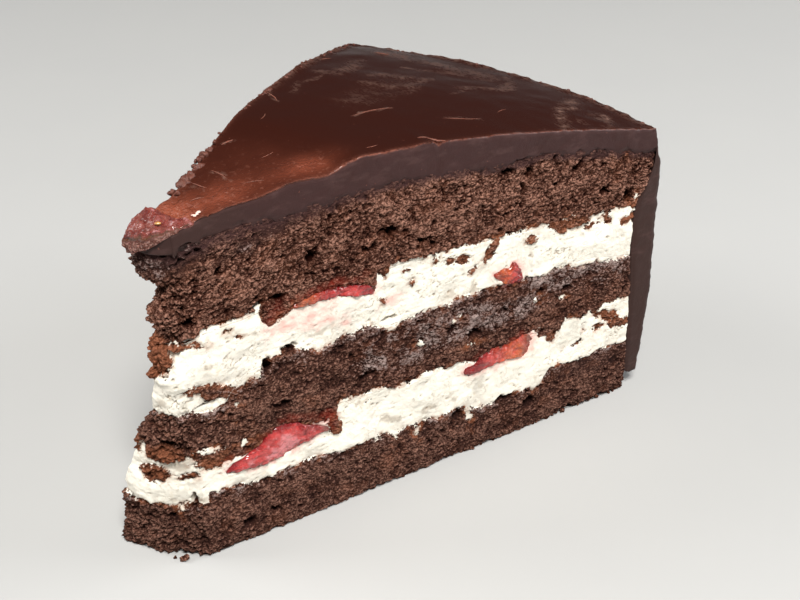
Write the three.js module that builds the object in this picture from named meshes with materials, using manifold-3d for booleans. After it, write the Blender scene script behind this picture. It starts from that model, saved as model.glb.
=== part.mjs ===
// A slice of black forest cake: three chocolate sponges, two whipped cream fillings, pieces of
// fruit in the fillings and on the tip, and a chocolate coat over the top and down the rim.
//
// Millimetres, +Z up. The cake's axis is a vertical line near the slice's tip. The front cut lies
// in the plane through that axis along +X and faces -Y. The back cut stands SLICE_ANGLE further on.
// The solids are worked out around the axis, and the whole slice is then set so that the origin
// lies under the middle of its box, on the face that it stands on.

import * as THREE from "three";
import { mergeVertices } from "three/addons/utils/BufferGeometryUtils.js";
import Module from "manifold-3d";

const wasm = await Module();
wasm.setup();

// Driving dimensions.
const SLICE_ANGLE = THREE.MathUtils.degToRad(41.8);
const AXIS_FROM_MIDDLE = new THREE.Vector2(-59, -41.7); // the cake's axis, from the box's middle
const GAP = 0.3; // between pieces that touch in the real slice
const RIM_GAP = 0.7; // between the layers and the coat that wraps round them

// Heights along the front cut, at even steps from the tip to the rim.
const JOINTS = {
  creamLowerFoot: [14, 15, 14.5, 13, 11.7, 11.2, 11.1, 14.8, 13.9],
  spongeMiddleFoot: [26.1, 23.6, 26.5, 26.2, 26.4, 26.3, 26.2, 26.3, 26.1],
  creamUpperFoot: [37.4, 42, 41.7, 42, 41.7, 41.6, 40.8, 41.6, 38.5],
  spongeTopFoot: [53.8, 54.6, 55.2, 55, 55.7, 54.4, 53.4, 52.3, 53.1],
};
const LAYERS = [
  { name: "sponge_bottom", look: "sponge", rows: 3 },
  { name: "cream_lower", look: "cream", rows: 3 },
  { name: "sponge_middle", look: "sponge", rows: 4 },
  { name: "cream_upper", look: "cream", rows: 3 },
  { name: "sponge_top", look: "sponge", rows: 5 },
];
const COAT_THICKNESS = [3.7, 5.0, 6.8, 7.4, 7.7, 7.6, 6.3, 6.0, 5.9];
const BACK_WAVE = { long: 1.2, short: 0.6 }; // how far a joint wanders along the back cut

// The dome of the top: its crown, the rim's edge and the tip, as height, and the crown's place.
const DOME = { crown: 81.4, rim: 68.9, tip: 76.4, crownAt: 0.35 };

// Sizes at even steps of Z_STEP up from the base.
const Z_STEP = 10;
const SPONGE_RIM_RADIUS = [118.6, 118.1, 117.8, 117.3, 116.6, 116.6, 120.4, 121.2];
const COAT_RIM_RADIUS = [121.2, 122.4, 123.1, 123.4, 123.3, 122.9, 122.5, 120.3];
const TIP_FRONT_X = [8.1, 7.6, 7.2, 6.7, 6.2, 6.6, 7.8, 8.0];
const TIP_BACK_X = [-5.8, -5.0, -3.6, -1.4, 1.7, 2.0, 3.1, 1.7];
const TIP_BACK_Y = [14.5, 13.1, 11.2, 8.5, 4.7, 4.8, 4.9, 6.6];
const RIM_SPREAD = 3; // how far the back cut leans out at the base of the rim
const TIP_ROUNDING = 1.4; // how far the blunt tip bulges between the two cuts

// The coat's own outline: its tip overhangs the sponge.
const COAT_TIP_FRONT = new THREE.Vector2(6.8, 0);
const COAT_TIP_BACK = new THREE.Vector2(4.0, 3.0);
const COAT_TIP_FLARE = 3.9; // how far its tip is pressed out of the back cut
const COAT_TIP_FLARE_REACH = 0.07;
const COAT_SHOULDER = { outerRadius: 120.3, innerRadius: 121.4, share: 0.08 };
const COAT_END = { outerZ: 4.7, innerZ: 5.0 };
const COAT_SLAB_SHARE = 0.62; // the share of the coat's section that lies on top
const LIP = { height: 0.9, width: 0.045 }; // the ridge that the knife left along the back cut

// Relief of the cut faces, as the most that a face stands in or out.
const RELIEF = { sponge: 0.45, cream: 0.4, coat: 0.12, rim: 0.35 };
const RELIEF_REACH = 0.1; // the share of the slice's width over which relief fades inwards

// Pieces of fruit at a cut face. cut: 0 the front, 1 the back, along: distance from the axis,
// up: height of the middle, length, height and depth: half sizes, tilt: degrees from level.
const FRUIT = {
  fruit_front_low_tip: { cut: 0, along: 25, up: 22.7, length: 13, height: 3.6, depth: 9, tilt: 7 },
  fruit_front_low_rim: { cut: 0, along: 81, up: 24.3, length: 10, height: 1.9, depth: 8, tilt: 10 },
  fruit_front_high_tip: { cut: 0, along: 36, up: 53, length: 12.8, height: 1.6, depth: 9, tilt: -5 },
  fruit_front_high_rim: { cut: 0, along: 81.6, up: 44.1, length: 4, height: 2.9, depth: 6, tilt: 8 },
  fruit_back_low: { cut: 1, along: 58, up: 22.6, length: 11, height: 3.2, depth: 8, tilt: -6 },
  fruit_back_high_tip: { cut: 1, along: 34, up: 52.4, length: 8.5, height: 2.1, depth: 8, tilt: 5 },
  fruit_back_high_rim: { cut: 1, along: 88, up: 47.3, length: 6, height: 3.1, depth: 7, tilt: 12 },
};
const FRUIT_SIDES = 14;
const FRUIT_RINGS = [0, 0.5, 0.85, 1.15, Math.PI / 2]; // of its back, as angles from its deepest point
const FRUIT_FACE = [1, 0.62, 0]; // rings of its cut face, as shares of its outline
const FRUIT_PROUD = 0.35; // how far a cut piece of fruit swells out of the cut
const POCKET_MOUTH = 3; // how far the tool that cuts a pocket runs out of the cut face

// The crushed piece of fruit on the tip. It covers the slice's width over a share of its length,
// longer at the front cut than at the back, sunk into the coat and standing proud of it.
const TIP_FRUIT = {
  frontShare: 0.125,
  backShare: 0.055,
  sunk: 2.4,
  proud: 1.1,
  overhang: 1.2,
  tail: 0.12,
};

const TIP_POCKET = { pastEnds: 0.5, pastTail: 0.05, deeper: GAP, taller: 3 };

// Corners closer than MERGE_WITHIN are one, and a cut leaves no edge under SHORTEST_EDGE.
const MERGE_WITHIN = 1e-4;
const SHORTEST_EDGE = 0.01;

const LOOKS = {
  sponge: { color: 0x4a3127, roughness: 0.95, metalness: 0 },
  cream: { color: 0xf1ead9, roughness: 0.75, metalness: 0 },
  coat: { color: 0x3e221c, roughness: 0.35, metalness: 0 },
  fruit: { color: 0xb8303a, roughness: 0.2, metalness: 0 },
};

const { lerp, clamp, smoothstep } = THREE.MathUtils;

// A smooth curve through evenly spaced values, as a function of 0 to 1.
function curveThrough(values) {
  const curve = new THREE.SplineCurve(values.map((value, i) => new THREE.Vector2(i, value)));
  return (s) => curve.getPoint(clamp(s, 0, 1)).y;
}

// A smooth curve through values at every Z_STEP, as a function of height.
function curveByHeight(values) {
  const curve = curveThrough(values);
  return (z) => curve(z / (Z_STEP * (values.length - 1)));
}

const spongeRimRadius = curveByHeight(SPONGE_RIM_RADIUS);
const coatRimRadius = curveByHeight(COAT_RIM_RADIUS);
const tipFrontX = curveByHeight(TIP_FRONT_X);
const tipBackX = curveByHeight(TIP_BACK_X);
const tipBackY = curveByHeight(TIP_BACK_Y);
const coatThickness = curveThrough(COAT_THICKNESS);

// The height of the coat's top. u runs from the tip to the rim, v from the front cut to the back.
function topHeight(u, v) {
  const beyond = (u - DOME.crownAt) / (1 - DOME.crownAt);
  const before = (DOME.crownAt - u) / DOME.crownAt;
  const fall =
    beyond > 0
      ? (DOME.crown - DOME.rim) * beyond ** 1.6
      : (DOME.crown - DOME.tip) * before ** 1.3;
  const lip = LIP.height * Math.exp(-(((1 - v) / LIP.width) ** 2)) * smoothstep(u, 0.45, 0.75);
  return DOME.crown - fall + lip;
}

function base() {
  return 0;
}

// The height of the joint under the coat.
function coatFoot(u, v) {
  return topHeight(u, 0) - coatThickness(u) + 0.5 * v * Math.sin(9 * u + 2);
}

// The height of a joint between two layers. Along the back cut it wanders about its mean.
function jointHeight(name, index) {
  const values = JOINTS[name];
  const front = curveThrough(values);
  const mean = values.reduce((sum, value) => sum + value) / values.length;
  const phase = index * 1.7;
  return (u, v) => {
    const wander =
      BACK_WAVE.long * Math.sin(7 * u + phase) + BACK_WAVE.short * Math.sin(19 * u + 2 * phase);
    return lerp(front(u), mean + wander, smoothstep(v, 0, 1) * smoothstep(u, 0, 0.2));
  };
}

// A smooth uneven pattern between -1 and 1, a few millimetres from bump to bump.
function crumble(a, b) {
  const slow = Math.sin(0.83 * a + 1.4 * Math.sin(0.47 * b + 0.6));
  const quick = Math.sin(1.31 * b - 0.52 * a + 1.2 * Math.sin(0.71 * a));
  return 0.5 * (slow + quick);
}

// Points of the plan. tipFront and tipBack end the two cuts, and radius is the rim's.
function planPoint(u, v, tipFront, tipBack, radius, spread) {
  const across = tipBack.clone().sub(tipFront);
  const outwards = new THREE.Vector2(-across.y, across.x).normalize();
  const tip = tipFront.clone().addScaledVector(across, v);
  tip.addScaledVector(outwards, TIP_ROUNDING * 4 * v * (1 - v));
  const angle = v * (SLICE_ANGLE + spread / radius);
  const rim = new THREE.Vector2(Math.cos(angle), Math.sin(angle)).multiplyScalar(radius);
  return tip.lerp(rim, u);
}

// A point of the layered body at height z, before any relief.
function bodyPoint(u, v, z, inset = 0) {
  const tipFront = new THREE.Vector2(tipFrontX(z), 0);
  const tipBack = new THREE.Vector2(tipBackX(z), tipBackY(z));
  const spread = RIM_SPREAD * (1 - clamp(z / DOME.rim, 0, 1));
  return planPoint(u, v, tipFront, tipBack, spongeRimRadius(z) - inset, spread);
}

// Moves a point in or out of the cut face or tip that it lies on.
function addRelief(point, u, v, z, depth) {
  const front = Math.max(0, 1 - v / RELIEF_REACH);
  const back = Math.max(0, 1 - (1 - v) / RELIEF_REACH);
  const tip = Math.max(0, 1 - u / RELIEF_REACH);
  const along = point.length();
  point.y -= front * depth * crumble(along, z);
  point.x -= back * depth * crumble(along + 40, z) * Math.sin(SLICE_ANGLE);
  point.y += back * depth * crumble(along + 40, z) * Math.cos(SLICE_ANGLE);
  point.x -= tip * depth * crumble(2 * point.y, 1.3 * z);
  return point;
}

// A geometry from the corners of its triangles, with those that meet made one.
function closedGeometry(positions) {
  const geometry = new THREE.BufferGeometry();
  geometry.setAttribute("position", new THREE.Float32BufferAttribute(positions, 3));
  return mergeVertices(geometry, MERGE_WITHIN);
}

// A closed body over a block of three parameters, each running through the values of its list.
// place turns (u, v, w) into a point, and keeps u, v and w in right-handed order.
function blockGeometry(us, vs, ws, place) {
  const positions = [];
  const addPatch = (as, bs, at) => {
    for (let i = 0; i < as.length - 1; i++) {
      for (let j = 0; j < bs.length - 1; j++) {
        const p = at(as[i], bs[j]);
        const q = at(as[i + 1], bs[j]);
        const r = at(as[i + 1], bs[j + 1]);
        const s = at(as[i], bs[j + 1]);
        const corners = [p, q, r, p, r, s];
        corners.forEach((corner) => positions.push(corner.x, corner.y, corner.z));
      }
    }
  };
  addPatch(us, vs, (u, v) => place(u, v, ws.at(-1)));
  addPatch(vs, us, (v, u) => place(u, v, ws[0]));
  addPatch(us, ws, (u, w) => place(u, vs[0], w));
  addPatch(ws, us, (w, u) => place(u, vs.at(-1), w));
  addPatch(ws, vs, (w, v) => place(us[0], v, w));
  addPatch(vs, ws, (v, w) => place(us.at(-1), v, w));
  return closedGeometry(positions);
}

// Values at even steps from 0 to 1.
function steps(count) {
  return Array.from({ length: count + 1 }, (_, i) => i / count);
}

// A solid that can be cut, from a closed geometry.
function solidOf(geometry) {
  const bare = geometry.clone();
  bare.deleteAttribute("normal");
  bare.deleteAttribute("uv");
  const merged = mergeVertices(bare, MERGE_WITHIN);
  return new wasm.Manifold(
    new wasm.Mesh({
      numProp: 3,
      vertProperties: merged.attributes.position.array,
      triVerts: new Uint32Array(merged.index.array),
    }),
  );
}

// A geometry from a solid. Where a cut left scraps or very short edges, they are dropped.
function geometryOf(solid) {
  const bodies = solid.simplify(SHORTEST_EDGE).decompose();
  const largest = bodies.reduce((a, b) => (a.volume() > b.volume() ? a : b));
  const mesh = largest.getMesh();
  const geometry = new THREE.BufferGeometry();
  geometry.setAttribute("position", new THREE.BufferAttribute(mesh.vertProperties, 3));
  geometry.setIndex(new THREE.BufferAttribute(mesh.triVerts, 1));
  return geometry;
}

const LENGTH_STEPS = steps(34);
const WIDTH_STEPS = [0, 0.08, 0.3, 0.5, 0.7, 0.92, 1];
const COAT_SLAB_STEPS = 30;
const COAT_APRON_STEPS = 20;

// The coat: a slab over the top that turns down over the rim and ends just above the base.
function coatGeometry() {
  const slab = steps(COAT_SLAB_STEPS).map((s) => s * COAT_SLAB_SHARE);
  const apron = steps(COAT_APRON_STEPS).slice(1).map((s) => lerp(COAT_SLAB_SHARE, 1, s));
  return blockGeometry([...slab, ...apron], WIDTH_STEPS, steps(2), (t, v, w) => {
    const u = clamp(t / COAT_SLAB_SHARE, 0, 1);
    if (t <= COAT_SLAB_SHARE) {
      const radius = lerp(COAT_SHOULDER.innerRadius, COAT_SHOULDER.outerRadius, w);
      const plan = coatPoint(u, v, radius);
      const z = lerp(coatFoot(u, v) + GAP / 2, topHeight(u, v), w);
      addRelief(plan, u, v, z, RELIEF.coat);
      return new THREE.Vector3(plan.x, plan.y, z);
    }
    const down = (t - COAT_SLAB_SHARE) / (1 - COAT_SLAB_SHARE);
    const outerZ = lerp(topHeight(1, v), COAT_END.outerZ, down);
    const innerZ = lerp(coatFoot(1, v) + GAP / 2, COAT_END.innerZ, down);
    const start = 1 - smoothstep(down, 0, COAT_SHOULDER.share);
    const ridge = RELIEF.rim * crumble(70 * v, 0.6 * outerZ) * smoothstep(down, 0.05, 0.3);
    const outer = lerp(coatRimRadius(outerZ) + ridge, COAT_SHOULDER.outerRadius, start);
    const inner = lerp(spongeRimRadius(innerZ), COAT_SHOULDER.innerRadius, start);
    const angle = v * SLICE_ANGLE;
    const spread = RIM_SPREAD * (1 - clamp(outerZ / DOME.rim, 0, 1));
    const radius = lerp(inner, outer, w);
    const turn = angle + (v * spread) / radius;
    return new THREE.Vector3(
      radius * Math.cos(turn),
      radius * Math.sin(turn),
      lerp(innerZ, outerZ, w),
    );
  });
}

// The unevenness of a piece of fruit's outline, turn by turn.
function fruitOutline(piece, turn) {
  return 1 + 0.1 * Math.sin(2 * turn + piece.along) + 0.07 * Math.sin(3 * turn + piece.up);
}

// A piece of fruit cut by the knife: a slightly swollen face in the cut, and a rounded back.
// grow makes it larger all round, and mouth runs it out of the cut, which gives its pocket.
function cutFruitGeometry(piece, grow = 0, mouth = 0) {
  const onCut = (along) => {
    const tipX = tipFrontX(piece.up);
    return bodyPoint((along - tipX) / (spongeRimRadius(piece.up) - tipX), piece.cut, piece.up);
  };
  const middle = onCut(piece.along);
  const direction = onCut(piece.along + 1).sub(middle).normalize();
  const side = piece.cut === 1 ? -1 : 1;
  const inwards = new THREE.Vector2(-direction.y, direction.x).multiplyScalar(side);
  const tilt = THREE.MathUtils.degToRad(piece.tilt);
  const at = (turn, share, depth) => {
    const reach = share * fruitOutline(piece, turn);
    const a = (piece.length + grow) * reach * Math.cos(turn);
    const b = (piece.height + grow) * reach * Math.sin(turn);
    const plan = middle.clone();
    plan.addScaledVector(direction, a * Math.cos(tilt) - b * Math.sin(tilt));
    plan.addScaledVector(inwards, depth);
    return new THREE.Vector3(plan.x, plan.y, piece.up + a * Math.sin(tilt) + b * Math.cos(tilt));
  };
  const back = FRUIT_RINGS.map((angle) => [Math.sin(angle), (piece.depth + grow) * Math.cos(angle)]);
  const face = mouth
    ? FRUIT_FACE.map((share) => [share, -mouth])
    : FRUIT_FACE.slice(1).map((share) => [share, FRUIT_PROUD * (share ** 2 - 1)]);
  const profile = [...back, ...face];
  const positions = [];
  for (let i = 0; i < profile.length - 1; i++) {
    for (let j = 0; j < FRUIT_SIDES; j++) {
      const turn = (2 * Math.PI * j) / FRUIT_SIDES;
      const next = (2 * Math.PI * (j + 1)) / FRUIT_SIDES;
      const p = at(turn, ...profile[i]);
      const q = at(next, ...profile[i]);
      const r = at(next, ...profile[i + 1]);
      const s = at(turn, ...profile[i + 1]);
      const corners = piece.cut === 1 ? [p, s, r, p, r, q] : [p, q, r, p, r, s];
      corners.forEach((corner) => positions.push(corner.x, corner.y, corner.z));
    }
  }
  return closedGeometry(positions);
}

// A point of the coat's slab in plan. Its tip is pressed out of the back cut.
function coatPoint(u, v, radius) {
  const point = planPoint(u, v, COAT_TIP_FRONT, COAT_TIP_BACK, radius, 0);
  const flare = COAT_TIP_FLARE * v * Math.exp(-((u / COAT_TIP_FLARE_REACH) ** 2));
  point.x -= flare * Math.sin(SLICE_ANGLE);
  point.y += flare * Math.cos(SLICE_ANGLE);
  return point;
}

// The crushed fruit on the tip. a runs from the tip to its tail, b from the front cut to the back.
// Its pocket runs past its ends, sides and tail by the given shares, and is deeper and taller.
function tipFruitGeometry({ pastEnds = 0, pastTail = 0, deeper = 0, taller = 0 } = {}) {
  const tipSteps = pastEnds ? [-pastEnds, ...steps(7)] : steps(7);
  const alongs = pastTail ? [...tipSteps, 1 + pastTail] : tipSteps;
  const acrosses = pastEnds ? [-pastEnds, ...steps(5), 1 + pastEnds] : steps(5);
  return blockGeometry(alongs, acrosses, steps(2), (a, b, w) => {
    const inA = clamp(a, 0, 1);
    const inB = clamp(b, 0, 1);
    const u = a * lerp(TIP_FRUIT.frontShare, TIP_FRUIT.backShare, inB);
    const plan = coatPoint(u, b, COAT_SHOULDER.outerRadius);
    plan.x -= TIP_FRUIT.overhang * (1 - inA) ** 2;
    const share = lerp(1, TIP_FRUIT.tail, Math.sqrt(inA));
    const lumps = 0.75 + 0.25 * Math.sin(9 * a + 4 * b) * Math.cos(6 * b + 2 * a);
    const rise = TIP_FRUIT.proud * share * lumps * (1 - 0.5 * inB ** 4) + taller;
    const depth = TIP_FRUIT.sunk * share + deeper;
    const z = topHeight(clamp(u, 0, 1), inB) + lerp(-depth, rise, w);
    return new THREE.Vector3(plan.x, plan.y, z);
  });
}

// A layer between two joints, foot below and head above, with half a gap at each.
function layerGeometry(foot, head, depth, rows) {
  return blockGeometry(LENGTH_STEPS, WIDTH_STEPS, steps(rows), (u, v, w) => {
    const low = foot === base ? 0 : foot(u, v) + GAP / 2;
    const z = lerp(low, head(u, v) - GAP / 2, w);
    const bulge = 1 - (2 * w - 1) ** 2;
    const point = addRelief(bodyPoint(u, v, z, RIM_GAP), u, v, z, depth * (0.4 + 0.6 * bulge));
    return new THREE.Vector3(point.x, point.y, z);
  });
}

const slice = new THREE.Group();
slice.name = "black_forest_cake_slice";

function addPiece(name, geometry, look) {
  const mesh = new THREE.Mesh(geometry, new THREE.MeshStandardMaterial(LOOKS[look]));
  mesh.name = name;
  geometry.computeVertexNormals();
  slice.add(mesh);
}

// The layers from the base up, each between its own foot and the next one's.
const feet = [base, ...Object.keys(JOINTS).map(jointHeight), coatFoot];
const pockets = Object.values(FRUIT).map((piece) => solidOf(cutFruitGeometry(piece, GAP, POCKET_MOUTH)));
LAYERS.forEach(({ name, look, rows }, i) => {
  let solid = solidOf(layerGeometry(feet[i], feet[i + 1], RELIEF[look], rows));
  for (const pocket of pockets) {
    solid = solid.subtract(pocket);
  }
  addPiece(name, geometryOf(solid), look);
});

const tipPocket = solidOf(tipFruitGeometry(TIP_POCKET));
addPiece("chocolate_coat", geometryOf(solidOf(coatGeometry()).subtract(tipPocket)), "coat");

for (const [name, piece] of Object.entries(FRUIT)) {
  addPiece(name, cutFruitGeometry(piece), "fruit");
}
addPiece("fruit_tip", tipFruitGeometry(), "fruit");

slice.position.set(AXIS_FROM_MIDDLE.x, AXIS_FROM_MIDDLE.y, 0);

export default slice;
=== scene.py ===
"""Dresses a slice of black forest cake: sponges, cream, fruit and chocolate coat.

Lengths are millimetres around the cake's axis until a mesh is made, which is in metres in the
slice's own frame. The front cut lies in the plane y = 0, and the back cut a slice's angle further.
"""

import logging
import math
from collections.abc import Callable, Sequence
from dataclasses import dataclass, field
from enum import Enum

import bpy
import numpy as np
from mathutils import Matrix, Vector
from mathutils.geometry import delaunay_2d_cdt


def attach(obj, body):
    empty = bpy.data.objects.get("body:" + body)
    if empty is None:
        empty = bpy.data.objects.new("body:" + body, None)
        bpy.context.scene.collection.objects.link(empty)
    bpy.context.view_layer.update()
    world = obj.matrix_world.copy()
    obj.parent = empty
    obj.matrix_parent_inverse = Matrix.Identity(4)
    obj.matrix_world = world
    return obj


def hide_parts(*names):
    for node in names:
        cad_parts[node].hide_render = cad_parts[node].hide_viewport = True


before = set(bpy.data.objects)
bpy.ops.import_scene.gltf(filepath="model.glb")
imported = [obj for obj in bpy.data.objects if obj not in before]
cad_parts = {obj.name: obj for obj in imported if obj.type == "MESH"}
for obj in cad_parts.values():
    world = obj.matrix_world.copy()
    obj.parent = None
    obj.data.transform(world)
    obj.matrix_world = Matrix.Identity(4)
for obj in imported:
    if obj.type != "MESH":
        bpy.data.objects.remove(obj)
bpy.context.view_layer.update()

MM = 0.001
BODY = "root"
LOG = logging.getLogger("slice")

Array = np.ndarray
Field = dict[str, Array]
Pair = tuple[float, float]
Triple = tuple[float, float, float]
Sizes = tuple[float, ...]
Material = bpy.types.Material
Piece = bpy.types.Object
Socket = bpy.types.NodeSocket

EVEN: Triple = (1.0, 1.0, 1.0)
# The joints between sponge and cream, from the base up.
BORDERS = (1, 2, 3, 4)
# Where random patches of the back cut lie along it.
BACK_REACH: Pair = (10, 114)
# A distance that counts as far outside any patch.
FAR = 9.0
# The distance along a cut of points that aren't on it.
NOWHERE = 500.0


# ---- Curves and noise ----


def smoothstep(value: Array, low: float, high: float) -> Array:
    """Eases from 0 at low to 1 at high, and stays there."""
    share = np.clip((value - low) / (high - low), 0.0, 1.0)
    return share * share * (3.0 - 2.0 * share)


def lerp(start: Array | float, end: Array | float, share: Array | float) -> Array:
    """Goes a share of the way from start to end."""
    return start + (end - start) * share


def bump(value: Array, middle: float, width: float) -> Array:
    """A bell of height 1 at the middle, which has fallen to about a third a width away."""
    return np.exp(-(((value - middle) / width) ** 2))


def fade(distance: Array, reach: float) -> Array:
    """Falls off outside an edge, from 1 to about a third where the distance is the reach."""
    return np.exp(-np.clip(distance, 0, None) / reach)


def softened(walk: Array) -> Array:
    """A closed walk with its corners eased once, by each point's neighbours."""
    return (np.roll(walk, 1, 0) + 2 * walk + np.roll(walk, -1, 0)) / 4


def spline(values: Sequence[float]) -> Callable[[Array], Array]:
    """A smooth curve through evenly spaced values.

    Args:
        values: The values, from the curve's start to its end.

    Returns:
        A function of 0 to 1 that gives the curve's value.
    """
    knots = np.asarray(values, float)
    last = len(knots) - 1

    def at(share: Array) -> Array:
        """The curve's value at a share of its length.

        Args:
            share: Shares, from 0 at the curve's start to 1 at its end.

        Returns:
            The values.
        """
        place = np.clip(share, 0.0, 1.0) * last
        start = np.minimum(place.astype(int), last - 1)
        part = place - start
        before = knots[np.maximum(start - 1, 0)]
        here, there = knots[start], knots[start + 1]
        after = knots[np.minimum(start + 2, last)]
        leave, reach = (there - before) / 2, (after - here) / 2
        cube = (2 * here - 2 * there + leave + reach) * part**3
        square = (3 * there - 3 * here - 2 * leave - reach) * part**2
        return cube + square + leave * part + here

    return at


class Noise:
    """Seeded noise, read at points in millimetres."""

    NEIGHBOURS = np.stack(np.meshgrid(*[(-1, 0, 1)] * 3, indexing="ij"), -1).reshape(-1, 3)
    CORNERS = np.stack(np.meshgrid(*[(0, 1)] * 3, indexing="ij"), -1).reshape(-1, 3)
    # Large odd numbers that mix up the places of cells, and the widths of what is kept in bits.
    AXIS_KEYS = (73856093, 19349663, 83492791)
    SEED_KEY, FIRST_KEY, SECOND_KEY, GRAIN_KEY = 668265263, 739982445, 695872825, 40503
    WORD, BITS, TEN_BITS, SIXTEEN_BITS = 0xFFFFFFFF, 0x3FFFFFFF, 0x3FF, 0xFFFF
    # How strong each finer size of noise is beside the one before.
    FALL = 0.55

    @classmethod
    def scramble(cls, cells: Array, seed: int) -> Array:
        """Gives each cell of a lattice its own 30 random bits.

        Args:
            cells: Whole-number places, with three in the last axis.
            seed: Which of the many patterns to use.

        Returns:
            One whole number per cell.
        """
        x, y, z = (cells[..., axis] * key for axis, key in enumerate(cls.AXIS_KEYS))
        mixed = (x ^ y ^ z ^ (seed * cls.SEED_KEY)) & cls.WORD
        mixed = ((mixed ^ (mixed >> 15)) * cls.FIRST_KEY) & cls.WORD
        mixed = ((mixed ^ (mixed >> 12)) * cls.SECOND_KEY) & cls.WORD
        return (mixed ^ (mixed >> 15)) & cls.BITS

    @classmethod
    def value(cls, points: Array, size: float, seed: int) -> Array:
        """Smooth noise between -1 and 1.

        Args:
            points: Where to read it.
            size: The distance from bump to bump, about.
            seed: Which pattern to use.

        Returns:
            One number per point.
        """
        scaled = points / size
        floor = np.floor(scaled).astype(np.int64)
        part = scaled - floor
        part = part * part * (3.0 - 2.0 * part)
        total = np.zeros(points.shape[:-1])
        for corner in cls.CORNERS:
            weight = np.prod(np.where(corner, part, 1.0 - part), axis=-1)
            total += weight * cls.scramble(floor + corner, seed)
        return total / (cls.BITS >> 1) - 1.0

    @classmethod
    def fractal(cls, points: Array, size: float, octaves: int, seed: int) -> Array:
        """Several sizes of smooth noise in one, between -1 and 1, about.

        Args:
            points: Where to read it.
            size: The size of its largest bumps.
            octaves: How many sizes, each half the one before.
            seed: Which pattern to use.

        Returns:
            One number per point.
        """
        total = np.zeros(points.shape[:-1])
        for octave in range(octaves):
            total += cls.value(points, size * 0.5**octave, seed + octave) * cls.FALL**octave
        return total

    @classmethod
    def cells(cls, points: Array, size: float, seed: int) -> tuple[Array, Array]:
        """Grains: each point belongs to the grain whose middle is nearest.

        Args:
            points: Where to read them.
            size: The grains' size.
            seed: Which pattern to use.

        Returns:
            The distance to the grain's middle, in sizes, and the grain's own number from 0 to 1.
        """
        scaled = points / size
        floor = np.floor(scaled).astype(np.int64)
        nearest = np.full(points.shape[:-1], FAR)
        number = np.zeros(points.shape[:-1])
        for neighbour in cls.NEIGHBOURS:
            cell = floor + neighbour
            bits = cls.scramble(cell, seed)
            offset = np.stack([(bits >> shift) & cls.TEN_BITS for shift in (0, 10, 20)], -1) / cls.TEN_BITS
            distance = np.linalg.norm(cell + offset - scaled, axis=-1)
            closer = distance < nearest
            nearest = np.where(closer, distance, nearest)
            own = ((bits * cls.GRAIN_KEY) & cls.SIXTEEN_BITS) / cls.SIXTEEN_BITS
            number = np.where(closer, own, number)
        return nearest, number


@dataclass(frozen=True)
class Wave:
    """One kind of unevenness: noise in several sizes, between minus and plus its depth, about."""

    size: float
    octaves: int
    seed: int
    depth: float = 1.0
    shape: Triple = EVEN

    def at(self, points: Array) -> Array:
        """The unevenness at points."""
        shaped = points * np.array(self.shape)
        return self.depth * Noise.fractal(shaped, self.size, self.octaves, self.seed)

    def threads(self, points: Array, width: float) -> Array:
        """Thin winding lines: 1 in their middle, and 0 from the width on."""
        return np.clip(1 - np.abs(self.at(points)) / width, 0, 1)


# ---- The slice's form ----


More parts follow.
